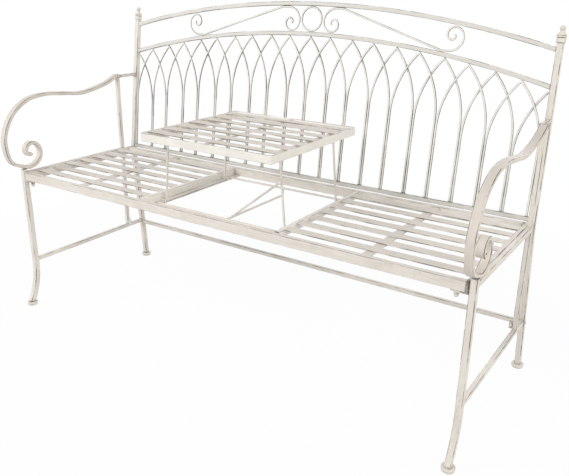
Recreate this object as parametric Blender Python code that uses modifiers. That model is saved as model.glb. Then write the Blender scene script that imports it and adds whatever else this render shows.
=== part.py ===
"""Garden bench of painted iron with a table that rises from the middle of the seat.

Two side seats flank a square table. The table stands on two folding leg frames, hinged on
ledges inside the gap, and sinks flush into the gap to make a third seat. Metres, +Z up,
X along the bench, Y towards the back. All pieces hang on one empty, which centres the bench.
"""

import math

import bmesh
import bpy
from mathutils import Euler, Vector

# Overall
WIDTH = 1.490  # over the arms
SEAT_HEIGHT = 0.455
SEAT_GAP = 0.0003  # between pieces that are welded, bolted or resting on each other
PAINT_COLOUR = (0.80, 0.74, 0.66, 1.0)
ROD_SIDES = 2  # bevel resolution of round rods
TURN_STEPS = 16

# Posts, legs and feet
TUBE = 0.016
TUBE_EDGE = 0.0016
BAR = 0.012
BAR_EDGE = 0.0012
POST_INSET = 0.015  # tops of the rear posts, in from the front legs
POST_RISE = 0.444  # above the seat
POST_SEAT_Y = 0.034
BACK_RAKE = 0.0525  # how far the posts lean back, over their rise
POST_SPLAY = math.radians(1.16)  # posts part towards the feet
REAR_FOOT_KICK = 0.035  # rear feet behind the posts at seat height
REAR_BEND_DROP = 0.025  # bend of the rear legs below the seat
REAR_BEND_RADIUS = 0.250
LEG_SPREAD = 0.474  # front legs before the rear posts, at seat height
FRONT_FOOT_KICK = 0.032  # front feet before the front legs
FRONT_BEND_Z = 0.140
FOOT_HEIGHT = 0.016
FOOT_RADIUS = 0.0155
FINIAL_HEIGHT = 0.041
FINIAL_RADIUS = 0.0125

# Back
TOP_RAIL_DROP = 0.016  # ends of the top rail below the posts' tops
TOP_RAIL_ARCH = 0.088  # rise of the top rail's middle above its ends
SCROLL_BAND_MIDDLE = 0.086  # between the arched rails' middle lines, at mid-length
SCROLL_BAND_END = 0.090  # and at the posts
BACK_BOTTOM_RISE = 0.001  # bottom rail's middle line above the seat
RAIL_STEPS = 24
SPINDLE_PITCHES = 20
ROD = 0.003  # radius of the arch rods
ARCH_RISE = 0.172
ARCH_STEPS = 5
SCROLL_ROD = 0.00275
SCROLL_INNER_SHARE = 0.785  # a spiral's first radius as a share of the room between the rails
SCROLL_OUTER_SHARE = 0.690
SCROLL_INNER_X = 0.0742
SCROLL_OUTER_X = 0.445
SCROLL_EYE = 0.0045
SCROLL_START = math.radians(53)  # where the S leaves each spiral
SCROLL_TURN = math.radians(520)
SCROLL_CLOSING = 0.55  # below 1 a spiral closes fastest where it begins
SCROLL_STEPS = 28
RING_STEPS = 24

# Arms and side frames
ARM_WIDTH = 0.020
ARM_THICK = 0.010
ARM_EDGE = 0.001
ARM_REAR_RISE = 0.257  # heights above the seat
ARM_DIP_RISE = 0.219
ARM_CREST_RISE = 0.232
ARM_SCROLL_RISE = 0.0615
ARM_BOW_LEAD = 0.057  # the bow before the front leg
ARM_SCROLL_BACK = 0.0295  # the scroll's eye behind the front leg
ARM_SCROLL_RADIUS = 0.0515
ARM_SCROLL_EYE = 0.0065
ARM_SCROLL_CLOSING = 0.80
ARM_END = 0.010  # end of the broad strip behind the upright's middle
ARM_LINK_WIDE = 0.012  # narrow end from there to the post
UPRIGHT_LEAD = 0.054  # uprights before the rear posts, at seat height
SIDE_BAR_TALL = 0.016
SIDE_STRETCHER_Z = 0.153
REAR_STRETCHER_Z = 0.147

# Seat
RAIL_TALL = 0.025
RAIL_WALL = 0.0025
FRONT_RAIL_LEAD = 0.007  # front rail's face before the front legs' middles
FRONT_STRIP = 0.014
REAR_RAIL_LEAD = 0.041  # rear rail's face before the rear posts, at seat height
REAR_STRIP = 0.015
SIDE_RAIL = 0.012
SLATS = 7
SLAT_WIDE = 0.029
SLAT_THICK = 0.003
CROSS_BAR_WIDE = 0.025
WELD_DEPTH = 0.0005  # how far pieces of one weldment run into each other
BRACKET_LONG = 0.040
BRACKET_THICK = 0.003
BOLT_RADIUS = 0.0055
BOLT_LONG = 0.014

# Gap for the table
GAP_HALF = 0.226
GAP_STRIP = 0.012
LEDGE = 0.025

# Table
TABLE_SIDE_PLAY = 0.009  # table's clearance in the gap, at each side
TABLE_END_PLAY = 0.002
TABLE_RISE = 0.1896  # table's top above the seat
RIM_WALL = 0.003
CENTRE_BAR_HALF = 0.005
CENTRE_BAR_THICK = 0.0035
LEG_BAR_THICK = 0.003
LEG_BAR_RISE = 0.001  # bottom of the leg bars above the rim's bottom
LEG_BAR_CLEAR = 0.002  # between the leg bars' ends and the tie rods, with the table down
LEG_PIVOT_IN = 0.004  # pivot rod's axis in from the ledge's edge
LEG_TIP_IN = 0.030  # a peg's bend, in from the table's edge
LEG_TIP_DROP = 0.0136  # peg's axis below the table's top
LEG_SLAT_CLEAR = 0.0022
PEG_BEND = 0.0036
NOTCH_SIDE = 0.0006
NOTCH_SLOPE = math.radians(40)  # roof of a notch, rising inwards so that the peg can fold away
PIVOT_END = 0.016  # pivot rod's length past the leg
SADDLE_WALL = 0.003
SADDLE_THICK = 0.004
SADDLE_BACK = 0.005
TIE_OFFSET = 0.016  # tie rod's axis past the end of the pivot rod
TIE_END = 0.015  # end of a tie rod in from the gap's wall
CENTRE_ROD_DROP = 0.022
CENTRE_ROD_BEND = 0.010

# Stay
STAY_HALF = 0.0025
STAY_EYE_UP = 0.1235  # eye's distance from the pivot, along the leg
STAY_EYE_RADIUS = 0.0062
STAY_PIN = 0.0027
STAY_PLAY = 0.0004
STAY_HOOK_END = math.radians(-143)

# Places worked out from the sizes above
LEG_X = (WIDTH - ARM_WIDTH) / 2
POST_X = LEG_X - POST_INSET
SIDE_X = LEG_X
POST_TOP = SEAT_HEIGHT + POST_RISE
LEAN = math.atan2(BACK_RAKE, POST_RISE)
REAR_FOOT_Y = POST_SEAT_Y + REAR_FOOT_KICK
REAR_BEND_Z = SEAT_HEIGHT - REAR_BEND_DROP
FRONT_LEG_Y = POST_SEAT_Y - LEG_SPREAD
FRONT_FOOT_Y = FRONT_LEG_Y - FRONT_FOOT_KICK
TOP_RAIL_END = POST_TOP - TOP_RAIL_DROP
TOP_RAIL_PEAK = TOP_RAIL_END + TOP_RAIL_ARCH
ARCH_RAIL_END = TOP_RAIL_END - SCROLL_BAND_END
ARCH_RAIL_PEAK = TOP_RAIL_PEAK - SCROLL_BAND_MIDDLE
BACK_BOTTOM_Z = SEAT_HEIGHT + BACK_BOTTOM_RISE
ARM_REAR_Z = SEAT_HEIGHT + ARM_REAR_RISE
ARM_DIP_Z = SEAT_HEIGHT + ARM_DIP_RISE
ARM_CREST_Z = SEAT_HEIGHT + ARM_CREST_RISE
ARM_SCROLL_Z = SEAT_HEIGHT + ARM_SCROLL_RISE
ARM_BOW_Y = FRONT_LEG_Y - ARM_BOW_LEAD
ARM_SCROLL_Y = FRONT_LEG_Y + ARM_SCROLL_BACK
UPRIGHT_Y = POST_SEAT_Y - UPRIGHT_LEAD
FRONT_RAIL_Y = FRONT_LEG_Y - FRONT_RAIL_LEAD
REAR_RAIL_Y = POST_SEAT_Y - REAR_RAIL_LEAD
TABLE_HALF = GAP_HALF - TABLE_SIDE_PLAY
TABLE_TOP = SEAT_HEIGHT + TABLE_RISE
LEG_TIP_X = TABLE_HALF - LEG_TIP_IN
BACK_HALF = POST_X - TUBE / 2 + (POST_TOP - ARCH_RAIL_END) * math.tan(POST_SPLAY)
PITCH = 2 * BACK_HALF / SPINDLE_PITCHES
GAP_FRONT = FRONT_RAIL_Y + FRONT_STRIP
GAP_MID_Y = (GAP_FRONT + REAR_RAIL_Y) / 2
SLAT_PITCH = (REAR_RAIL_Y - GAP_FRONT + SLAT_WIDE) / (SLATS + 1)
RAIL_BOTTOM = SEAT_HEIGHT - RAIL_TALL
LEDGE_TOP = RAIL_BOTTOM + RAIL_WALL
RIM_TALL = SEAT_HEIGHT - LEDGE_TOP - SEAT_GAP
RIM_BOTTOM = TABLE_TOP - RIM_TALL
TABLE_HALF_Y = (REAR_RAIL_Y - GAP_FRONT) / 2 - TABLE_END_PLAY
PIVOT_X = GAP_HALF - LEDGE + LEG_PIVOT_IN
PIVOT_Z = LEDGE_TOP + SEAT_GAP + ROD
PEG_Z = TABLE_TOP - LEG_TIP_DROP
LEG_OFFSET = 2 * SLAT_PITCH + SLAT_WIDE / 2 + ROD + LEG_SLAT_CLEAR
LEG_LEAN = math.atan2(PIVOT_X - LEG_TIP_X, PEG_Z - PIVOT_Z)
PIVOT_HALF = LEG_OFFSET + PIVOT_END
TIE_Y = PIVOT_HALF + TIE_OFFSET
CENTRE_ROD_Z = PIVOT_Z - CENTRE_ROD_DROP
STAY_Y = GAP_MID_Y - LEG_OFFSET - ROD - STAY_PLAY - STAY_HALF

# Turns of flat outlines into the planes that they lie in
FRONT_VIEW = (math.pi / 2, 0, 0)
BACK_VIEW = (math.pi / 2 - LEAN, 0, 0)
SIDE_VIEW = (math.pi / 2, 0, math.pi / 2)
SIDES = (("left", -1), ("right", 1))


def clear_scene():
    for obj in list(bpy.data.objects):
        bpy.data.objects.remove(obj)


def new_collection(name):
    collection = bpy.data.collections.new(name)
    bpy.context.scene.collection.children.link(collection)
    return collection


def paint(obj):
    """Gives a piece its own cream paint."""
    material = bpy.data.materials.new(obj.name + "_paint")
    material.use_nodes = True
    shader = material.node_tree.nodes["Principled BSDF"]
    shader.inputs["Base Color"].default_value = PAINT_COLOUR
    shader.inputs["Roughness"].default_value = 0.55
    shader.inputs["Metallic"].default_value = 0.0
    obj.data.materials.append(material)


def add(name, data, location=(0, 0, 0), rotation=(0, 0, 0), parent=None):
    """Adds one piece; its location is in the bench's own coordinates."""
    obj = bpy.data.objects.new(name, data)
    PARTS.objects.link(obj)
    obj.parent = parent or ROOT
    obj.location = Vector(location) - (parent.location if parent else Vector())
    obj.rotation_euler = rotation
    paint(obj)
    return obj


def axis_empty(name, location):
    """An empty on a joint's axis, which carries the pieces that move there."""
    empty = bpy.data.objects.new(name, None)
    PARTS.objects.link(empty)
    empty.parent = ROOT
    empty.location = location
    return empty


def soften(obj, width=TUBE_EDGE):
    """Rounds a bar's long edges a little."""
    weld = obj.modifiers.new("caps", "WELD")
    weld.merge_threshold = 0.00001
    bevel = obj.modifiers.new("edges", "BEVEL")
    bevel.width = width
    bevel.segments = 1
    bevel.limit_method = "ANGLE"
    bevel.angle_limit = math.radians(50)
    return obj


def plate(name, outlines, thickness, location=(0, 0, 0), rotation=(0, 0, 0), parent=None):
    """A flat piece: outlines filled, and as thick as given, half on each side."""
    curve = bpy.data.curves.new(name, "CURVE")
    curve.dimensions = "2D"
    curve.fill_mode = "BOTH"
    curve.extrude = thickness / 2
    for outline in outlines:
        spline = curve.splines.new("POLY")
        spline.points.add(len(outline) - 1)
        for point, (u, v) in zip(spline.points, outline):
            point.co = (u, v, 0, 1)
        spline.use_cyclic_u = True
    return add(name, curve, location, rotation, parent)


def rod(name, points, radius, location=(0, 0, 0), rotation=(0, 0, 0), parent=None, closed=False):
    """A round rod along points that are given from its location."""
    curve = bpy.data.curves.new(name, "CURVE")
    curve.dimensions = "3D"
    curve.bevel_depth = radius
    curve.bevel_resolution = ROD_SIDES
    curve.use_fill_caps = not closed
    spline = curve.splines.new("POLY")
    spline.points.add(len(points) - 1)
    for point, place in zip(spline.points, points):
        point.co = (*place, 1)
    spline.use_cyclic_u = closed
    return add(name, curve, location, rotation, parent)


def box(name, low, high, parent=None):
    """A block between two corners."""
    low, high = Vector(low), Vector(high)
    mesh = bpy.data.meshes.new(name)
    shape = bmesh.new()
    bmesh.ops.create_cube(shape, size=1)
    bmesh.ops.scale(shape, vec=high - low, verts=shape.verts)
    shape.to_mesh(mesh)
    shape.free()
    return add(name, mesh, (low + high) / 2, parent=parent)


def turned(name, profile, location, rotation=(0, 0, 0)):
    """A turned piece; the profile of (radius, height) runs from its top down to its bottom."""
    mesh = bpy.data.meshes.new(name)
    points = [(radius, 0, height) for radius, height in profile]
    edges = [(i, i + 1) for i in range(len(points) - 1)]
    mesh.from_pydata(points, edges, [])
    obj = add(name, mesh, location, rotation)
    screw = obj.modifiers.new("turn", "SCREW")
    screw.steps = screw.render_steps = TURN_STEPS
    screw.use_merge_vertices = True
    screw.merge_threshold = 0.0001
    screw.use_smooth_shade = True
    return obj


def as_mesh(obj):
    """Turns a curve piece into a welded mesh piece of the same name, so that it can be joined."""
    bpy.context.view_layer.update()
    graph = bpy.context.evaluated_depsgraph_get()
    mesh = bpy.data.meshes.new_from_object(obj.evaluated_get(graph))
    shape = bmesh.new()
    shape.from_mesh(mesh)
    bmesh.ops.remove_doubles(shape, verts=shape.verts, dist=0.00001)
    bmesh.ops.recalc_face_normals(shape, faces=shape.faces)
    shape.to_mesh(mesh)
    shape.free()
    name, parent, matrix = obj.name, obj.parent, obj.matrix_basis.copy()
    bpy.data.objects.remove(obj)
    solid = bpy.data.objects.new(name, mesh)
    PARTS.objects.link(solid)
    solid.parent = parent
    solid.matrix_basis = matrix
    return solid


def join(body, pieces, operation="UNION"):
    """Welds pieces to a body, or cuts them out of it."""
    for piece in pieces:
        piece = as_mesh(piece) if piece.type == "CURVE" else piece
        PARTS.objects.unlink(piece)
        HELPERS.objects.link(piece)
        piece.hide_render = True
        piece.display_type = "WIRE"
        modifier = body.modifiers.new(piece.name, "BOOLEAN")
        modifier.operation = operation
        modifier.object = piece
        modifier.solver = "EXACT"
    return body


def arc(centre, radius, start, end, steps):
    """Points on an arc about a centre, angles from +u towards +v."""
    angles = [start + (end - start) * i / steps for i in range(steps + 1)]
    return [Vector((centre[0] + radius * math.cos(a), centre[1] + radius * math.sin(a))) for a in angles]


def spiral(centre, start, turn, outer, inner, steps, closing):
    """Points on a spiral that closes from its outer radius to its inner one."""
    points = []
    for i in range(steps + 1):
        share = i / steps
        radius = outer - (outer - inner) * share**closing
        angle = start + turn * share
        points.append(Vector((centre[0] + radius * math.cos(angle), centre[1] + radius * math.sin(angle))))
    return points


def smooth(knots, steps):
    """A smooth line through the knots, with as many steps between each two."""
    points = []
    for i in range(len(knots) - 1):
        before, start = Vector(knots[max(i - 1, 0)]), Vector(knots[i])
        end, after = Vector(knots[i + 1]), Vector(knots[min(i + 2, len(knots) - 1)])
        for j in range(steps):
            t = j / steps
            points.append(
                0.5
                * (
                    2 * start
                    + (end - before) * t
                    + (2 * before - 5 * start + 4 * end - after) * t**2
                    + (3 * start - before - 3 * end + after) * t**3
                )
            )
    return points + [Vector(knots[-1])]


def strip(path, half):
    """The closed outline of a strip along a path."""
    left, right = [], []
    for i, point in enumerate(path):
        run = (path[min(i + 1, len(path) - 1)] - path[max(i - 1, 0)]).normalized()
        across = Vector((-run.y, run.x)) * half
        left.append(point + across)
        right.append(point - across)
    return left + right[::-1]


def sagged(peak, end):
    """The height of an arched rail's middle line over x, as an arc between the posts."""
    sag = peak - end
    radius = (BACK_HALF**2 + sag**2) / (2 * sag)
    return lambda x: peak - radius + math.sqrt(radius**2 - x**2)


def slope(height, x):
    step = 0.001
    return (height(x + step) - height(x - step)) / (2 * step)


def up_back(z):
    """Distance up the leaning back from seat height, for a height above the ground."""
    return (z - SEAT_HEIGHT) / math.cos(LEAN)


def post_y(z):
    """Middle of a rear post above the seat."""
    return POST_SEAT_Y + (z - SEAT_HEIGHT) * math.tan(LEAN)


def post_x(z):
    """Middle of a rear post at any height."""
    return POST_X + (POST_TOP - z) * math.tan(POST_SPLAY)


def post_inner(z):
    """Inner face of a rear post, less the clearance that a bar between the posts needs."""
    return post_x(z) - TUBE / 2 / math.cos(POST_SPLAY) - SEAT_GAP


BACK_ORIGIN = (0, POST_SEAT_Y, SEAT_HEIGHT)
REAR_LEG_SLOPE = (REAR_FOOT_Y - post_y(REAR_BEND_Z)) / (REAR_BEND_Z - FOOT_HEIGHT)


def rear_leg_y(z):
    """Middle of a rear leg below its bend."""
    return post_y(REAR_BEND_Z) + (REAR_BEND_Z - z) * REAR_LEG_SLOPE


def top_rail(x):
    return up_back(sagged(TOP_RAIL_PEAK, TOP_RAIL_END)(x))


def arch_rail(x):
    return up_back(sagged(ARCH_RAIL_PEAK, ARCH_RAIL_END)(x))


def build_posts():
    """Rear posts, bent back below the seat, with their finials and feet."""
    top = Vector((post_y(POST_TOP), POST_TOP))
    down = Vector((-math.sin(LEAN), -math.cos(LEAN)))
    kick = math.atan(REAR_LEG_SLOPE)
    half_turn = (LEAN + kick) / 2
    reach = REAR_BEND_RADIUS * math.tan(half_turn)
    corner = Vector((post_y(REAR_BEND_Z), REAR_BEND_Z))
    centre = corner - down * reach + Vector((math.cos(LEAN), -math.sin(LEAN))) * REAR_BEND_RADIUS
    bend = arc(centre, REAR_BEND_RADIUS, math.pi - LEAN, math.pi + kick, 5)
    foot_z = FOOT_HEIGHT + 2 * SEAT_GAP
    foot = Vector((rear_leg_y(foot_z), foot_z))
    outline = strip([top] + bend + [foot], TUBE / 2)
    # The foot end is cut level.
    for point in (outline[len(outline) // 2 - 1], outline[len(outline) // 2]):
        point.x += (point.y - foot.y) * REAR_LEG_SLOPE
        point.y = foot.y
    outline = [(u, v - POST_TOP) for u, v in outline]
    for side, sign in SIDES:
        post = plate(f"rear_post_{side}", [outline], TUBE, (sign * POST_X, 0, POST_TOP))
        splay = Euler((0, -sign * POST_SPLAY, 0)).to_matrix()
        post.rotation_euler = (splay @ Euler(SIDE_VIEW).to_matrix()).to_euler()
        soften(post)
        build_finial(f"finial_{side}", sign)
        build_foot(f"rear_foot_{side}", sign * post_x(FOOT_HEIGHT), REAR_FOOT_Y)


def build_finial(name, sign):
    """A bell on a flange and a round block, with a knob on top, in line with its post."""
    r, h = FINIAL_RADIUS, FINIAL_HEIGHT
    profile = [
        (0.0, h), (0.36 * r, 0.975 * h), (0.65 * r, 0.87 * h), (0.43 * r, 0.745 * h), (0.50 * r, 0.68 * h),
        (0.80 * r, 0.52 * h), (0.97 * r, 0.43 * h), (r, 0.40 * h), (r, 0.32 * h), (0.82 * r, 0.29 * h),
        (0.94 * r, 0.26 * h), (0.94 * r, 0.0), (0.0, 0.0),
    ]
    turn = Euler((0, -sign * POST_SPLAY, 0)).to_matrix() @ Euler((-LEAN, 0, 0)).to_matrix()
    seat = Vector((sign * POST_X, post_y(POST_TOP), POST_TOP))
    turned(name, profile, seat + turn @ Vector((0, 0, SEAT_GAP)), turn.to_euler())


def build_foot(name, x, y):
    """A flared round cap under a leg."""
    r, h = FOOT_RADIUS, FOOT_HEIGHT
    profile = [
        (0.0, h), (0.76 * r, h), (0.78 * r, 0.72 * h), (0.94 * r, 0.45 * h),
        (r, 0.2 * h), (0.88 * r, 0.0), (0.0, 0.0),
    ]
    turned(name, profile, (x, y, 0))


def arm_path():
    """The middle line of an arm's broad strip, from behind its upright to the eye of its scroll, as (y, z)."""
    eye = (ARM_SCROLL_Y, ARM_SCROLL_Z)
    start, turn = math.radians(-112), math.radians(400)
    scroll = spiral(eye, start, turn, ARM_SCROLL_RADIUS, ARM_SCROLL_EYE, 26, ARM_SCROLL_CLOSING)
    length = UPRIGHT_Y - ARM_BOW_Y
    rise = ARM_CREST_Z - ARM_SCROLL_Z
    knots = [
        (UPRIGHT_Y - BAR, ARM_REAR_Z),
        (UPRIGHT_Y - 0.14 * length, ARM_DIP_Z + 0.43 * (ARM_REAR_Z - ARM_DIP_Z)),
        (UPRIGHT_Y - 0.34 * length, ARM_DIP_Z),
        (UPRIGHT_Y - 0.50 * length, ARM_DIP_Z + 0.50 * (ARM_CREST_Z - ARM_DIP_Z)),
        (UPRIGHT_Y - 0.66 * length, ARM_CREST_Z),
        (UPRIGHT_Y - 0.80 * length, ARM_CREST_Z - 0.055 * rise),
        (UPRIGHT_Y - 0.92 * length, ARM_CREST_Z - 0.27 * rise),
        (UPRIGHT_Y - 0.99 * length, ARM_CREST_Z - 0.59 * rise),
        (ARM_BOW_Y, ARM_CREST_Z - 0.88 * rise),
        (UPRIGHT_Y - 0.965 * length, ARM_CREST_Z - 1.15 * rise),
        scroll[0],
        scroll[1],
    ]
    return [Vector((UPRIGHT_Y + ARM_END, ARM_REAR_Z))] + smooth(knots, 4)[:-1] + scroll[1:]


def arm_link(name, sign):
    """The narrow end of an arm, from the broad strip to the post's front, within the post's outer face."""
    post_face = post_y(ARM_REAR_Z) - TUBE / 2 / math.cos(LEAN) - ARM_THICK * math.tan(LEAN) - SEAT_GAP
    outer = post_inner(ARM_REAR_Z) + TUBE
    x = sorted((sign * (outer - ARM_LINK_WIDE), sign * outer))
    half = ARM_THICK / 2 - WELD_DEPTH
    start = UPRIGHT_Y + ARM_END - 4 * WELD_DEPTH
    return box(name, (x[0], start, ARM_REAR_Z - half), (x[1], post_face, ARM_REAR_Z + half))


def path_height(path, y, start):
    """Height of a path where it crosses y, looking only at its points from start on."""
    for a, b in zip(path[start:], path[start + 1 :]):
        if min(a.x, b.x) <= y <= max(a.x, b.x) and a.x != b.x:
            return a.y + (b.y - a.y) * (y - a.x) / (b.x - a.x)
    raise ValueError("the arm doesn't reach this place")


def build_sides():
    """Arms, front legs, and the uprights, bars and stretchers between the legs."""
    path = arm_path()
    bow = min(range(len(path)), key=lambda i: path[i].x)
    leg_back = FRONT_LEG_Y + TUBE / 2
    leg_top = path_height(path, leg_back, bow) - ARM_THICK / 2 - 2 * SEAT_GAP
    run = FRONT_LEG_Y - FRONT_FOOT_Y
    drop = FRONT_BEND_Z - FOOT_HEIGHT - SEAT_GAP
    radius = (run**2 + drop**2) / (2 * run)
    bend = arc((FRONT_LEG_Y - radius, FRONT_BEND_Z), radius, 0, -math.asin(drop / radius), 8)
    leg = strip([Vector((FRONT_LEG_Y, leg_top))] + bend, TUBE / 2)
    for point in (leg[len(leg) // 2 - 1], leg[len(leg) // 2]):
        slant = (bend[-1].x - bend[-2].x) / (bend[-1].y - bend[-2].y)
        point.x += (bend[-1].y - point.y) * slant
        point.y = bend[-1].y
    upright_top = ARM_REAR_Z - ARM_THICK / 2 - SEAT_GAP
    stretcher_top = SIDE_STRETCHER_Z + BAR / 2
    front_face = leg_back + SEAT_GAP
    rear_face = rear_leg_y(stretcher_top) - TUBE / 2 / math.cos(math.atan(REAR_LEG_SLOPE)) - 2 * SEAT_GAP
    half = BAR / 2
    for side, sign in SIDES:
        place = (sign * LEG_X, 0, 0)
        arm = plate(f"arm_{side}", [strip(path, ARM_THICK / 2)], ARM_WIDTH, place, SIDE_VIEW)
        join(as_mesh(soften(arm, ARM_EDGE)), [arm_link(f"arm_link_{side}", sign)])
        soften(plate(f"front_leg_{side}", [leg], TUBE, place, SIDE_VIEW))
        build_foot(f"front_foot_{side}", sign * LEG_X, FRONT_FOOT_Y)
        x = sign * SIDE_X
        upright = box(
            f"arm_upright_{side}",
            (x - half, UPRIGHT_Y - half, stretcher_top + SEAT_GAP),
            (x + half, UPRIGHT_Y + half, upright_top),
        )
        stretcher = box(
            f"side_stretcher_{side}",
            (x - half, front_face, SIDE_STRETCHER_Z - half),
            (x + half, rear_face, stretcher_top),
        )
        side_bar = box(
            f"side_bar_{side}",
            (x - half, front_face, SEAT_HEIGHT - SIDE_BAR_TALL),
            (x + half, UPRIGHT_Y - half - SEAT_GAP, SEAT_HEIGHT),
        )
        for bar in (upright, stretcher, side_bar):
            soften(bar, BAR_EDGE)


def build_rear_stretcher():
    half = BAR / 2
    y = rear_leg_y(REAR_STRETCHER_Z)
    end = post_inner(REAR_STRETCHER_Z + half)
    low, high = (-end, y - half, REAR_STRETCHER_Z - half), (end, y + half, REAR_STRETCHER_Z + half)
    soften(box("rear_stretcher", low, high), BAR_EDGE)


def rail_outline(height, end_z):
    """An arched square bar between the posts, its ends cut upright."""
    end = post_inner(end_z + BAR)
    stations = [-end + 2 * end * i / RAIL_STEPS for i in range(RAIL_STEPS + 1)]
    thick = [BAR / 2 * math.sqrt(1 + slope(height, x) ** 2) for x in stations]
    upper = [(x, height(x) + t) for x, t in zip(stations, thick)]
    lower = [(x, height(x) - t) for x, t in zip(stations, thick)]
    return lower + upper[::-1]


def build_back_rails():
    soften(plate("top_rail", [rail_outline(top_rail, TOP_RAIL_END)], BAR, BACK_ORIGIN, BACK_VIEW), BAR_EDGE)
    soften(plate("arch_rail", [rail_outline(arch_rail, ARCH_RAIL_END)], BAR, BACK_ORIGIN, BACK_VIEW), BAR_EDGE)
    half, middle = BAR / 2, up_back(BACK_BOTTOM_Z)
    end = post_inner(BACK_BOTTOM_Z + BAR)
    outline = [(-end, middle - half), (end, middle - half), (end, middle + half), (-end, middle + half)]
    soften(plate("back_bottom_rail", [outline], BAR, BACK_ORIGIN, BACK_VIEW), BAR_EDGE)


def build_arches():
    """Interlaced pointed arches: each spans two spindle spaces, and every second one lies in front."""
    side_step = ROD + SEAT_GAP / 2
    foot = up_back(BACK_BOTTOM_Z) + BAR / 2 + SEAT_GAP
    for k in range(SPINDLE_PITCHES + 1):
        x = -BACK_HALF + k * PITCH
        run = PITCH - side_step
        under = (BAR / 2 + ROD + SEAT_GAP) * math.sqrt(1 + slope(arch_rail, x) ** 2)
        apex = Vector((x, arch_rail(x) - under))
        radius = (run**2 + ARCH_RISE**2) / (2 * run)
        spring = apex.y - ARCH_RISE
        sweep = math.asin(ARCH_RISE / radius)
        centre = (x - run + radius, spring)
        left = [Vector((x - run, foot))] + arc(centre, radius, math.pi, math.pi - sweep, ARCH_STEPS)
        right = [Vector((2 * x - p.x, p.y)) for p in left[::-1]]
        points = left + right[1:]
        if k == 0:
            points = trimmed(right, x + ROD)
        if k == SPINDLE_PITCHES:
            points = trimmed(left[::-1], x - ROD)
        layer = side_step if k % 2 else -side_step
        rod(f"arch_{k:02d}", [(p.x, p.y, layer) for p in points], ROD, BACK_ORIGIN, BACK_VIEW)


def trimmed(points, x):
    """A half arch from its apex down, cut off at x so that it stops against its post."""
    a, b = points[0], points[1]
    share = (x - a.x) / (b.x - a.x)
    return [a + (b - a) * share] + points[1:]


def from_rail(height, x, touch):
    """Upright distance from a rail's middle line to a rod that touches the rail beside x."""
    return (BAR / 2 + touch) * math.sqrt(1 + slope(height, x) ** 2)


def build_scrolls():
    """An S of one rod on each side of a ring, between the two arched rails."""
    touch = SCROLL_ROD + SEAT_GAP
    taken = BAR + 2 * SCROLL_ROD

    def curl(x, start, radius):
        return spiral((-x, 0), start, -SCROLL_TURN, radius, SCROLL_EYE, SCROLL_STEPS, SCROLL_CLOSING)

    first = curl(SCROLL_INNER_X, math.pi - SCROLL_START, (SCROLL_BAND_MIDDLE - taken) * SCROLL_INNER_SHARE)
    last = curl(SCROLL_OUTER_X, -SCROLL_START, (SCROLL_BAND_END - taken) * SCROLL_OUTER_SHARE)
    below = min(top_rail(p.x) - from_rail(top_rail, p.x, touch) - p.y for p in first)
    above = max(arch_rail(p.x) + from_rail(arch_rail, p.x, touch) - p.y for p in last)
    first = [Vector((p.x, p.y + below)) for p in first]
    last = [Vector((p.x, p.y + above)) for p in last]
    path = first[::-1] + last
    for side, sign in SIDES:
        rod(f"scroll_{side}", [(-sign * p.x, p.y, 0) for p in path], SCROLL_ROD, BACK_ORIGIN, BACK_VIEW)
    low, high = arch_rail(0) + BAR / 2, top_rail(0) - BAR / 2
    radius = (high - low) / 2 - touch
    ring = arc((0, (low + high) / 2), radius, 0, math.tau, RING_STEPS)[:-1]
    rod("back_ring", [(p.x, p.y, 0) for p in ring], SCROLL_ROD, BACK_ORIGIN, BACK_VIEW, closed=True)


def angle_profile(face, depth):
    """Section of a rail: a face on edge and a strip along its top, from the face's outer side."""
    inner = face + RAIL_WALL
    return [
        (face, RAIL_BOTTOM), (inner, RAIL_BOTTOM), (inner, SEAT_HEIGHT - RAIL_WALL),
        (face + depth, SEAT_HEIGHT - RAIL_WALL), (face + depth, SEAT_HEIGHT), (face, SEAT_HEIGHT),
    ]


def build_seat_rails():
    """Front and rear rails of angle section, and the two rails beside the table's gap."""
    front_half = LEG_X - TUBE / 2 - RAIL_WALL
    rear_half = seat_side_inner() - SEAT_GAP
    plate("seat_front_rail", [angle_profile(FRONT_RAIL_Y, FRONT_STRIP)], 2 * front_half, rotation=SIDE_VIEW)
    plate("seat_rear_rail", [angle_profile(REAR_RAIL_Y, REAR_STRIP)], 2 * rear_half, rotation=SIDE_VIEW)
    length = REAR_RAIL_Y - GAP_FRONT - 2 * SEAT_GAP
    web = GAP_HALF + RAIL_WALL
    for side, sign in SIDES:
        section = [
            (GAP_HALF - LEDGE, RAIL_BOTTOM), (web, RAIL_BOTTOM), (web, SEAT_HEIGHT - RAIL_WALL),
            (GAP_HALF + GAP_STRIP, SEAT_HEIGHT - RAIL_WALL), (GAP_HALF + GAP_STRIP, SEAT_HEIGHT),
            (GAP_HALF, SEAT_HEIGHT), (GAP_HALF, LEDGE_TOP), (GAP_HALF - LEDGE, LEDGE_TOP),
        ]
        outline = [(sign * u, v) for u, v in section]
        rail = as_mesh(plate(f"gap_rail_{side}", [outline], length, (0, GAP_MID_Y, 0), FRONT_VIEW))
        saddles = [saddle(f"saddle_{side}_{end}", sign, end) for end in (-1, 1)]
        paint(join(rail, saddles))


def saddle(name, sign, end):
    """A strap over the end of a pivot rod, welded to the ledge."""
    inner, outer = ROD + SEAT_GAP, ROD + SEAT_GAP + SADDLE_WALL
    bottom = LEDGE_TOP - WELD_DEPTH
    middle = (sign * PIVOT_X, PIVOT_Z)
    crown = arc(middle, outer, 0, math.pi, 8)
    hollow = arc(middle, inner, math.pi, 0, 8)
    outline = [(middle[0] + outer, bottom)] + crown + [(middle[0] - outer, bottom)]
    outline += [(middle[0] - inner, bottom)] + hollow + [(middle[0] + inner, bottom)]
    y = GAP_MID_Y + end * (PIVOT_HALF - SADDLE_BACK)
    return plate(name, [outline], SADDLE_THICK, (0, y, 0), FRONT_VIEW)


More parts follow.
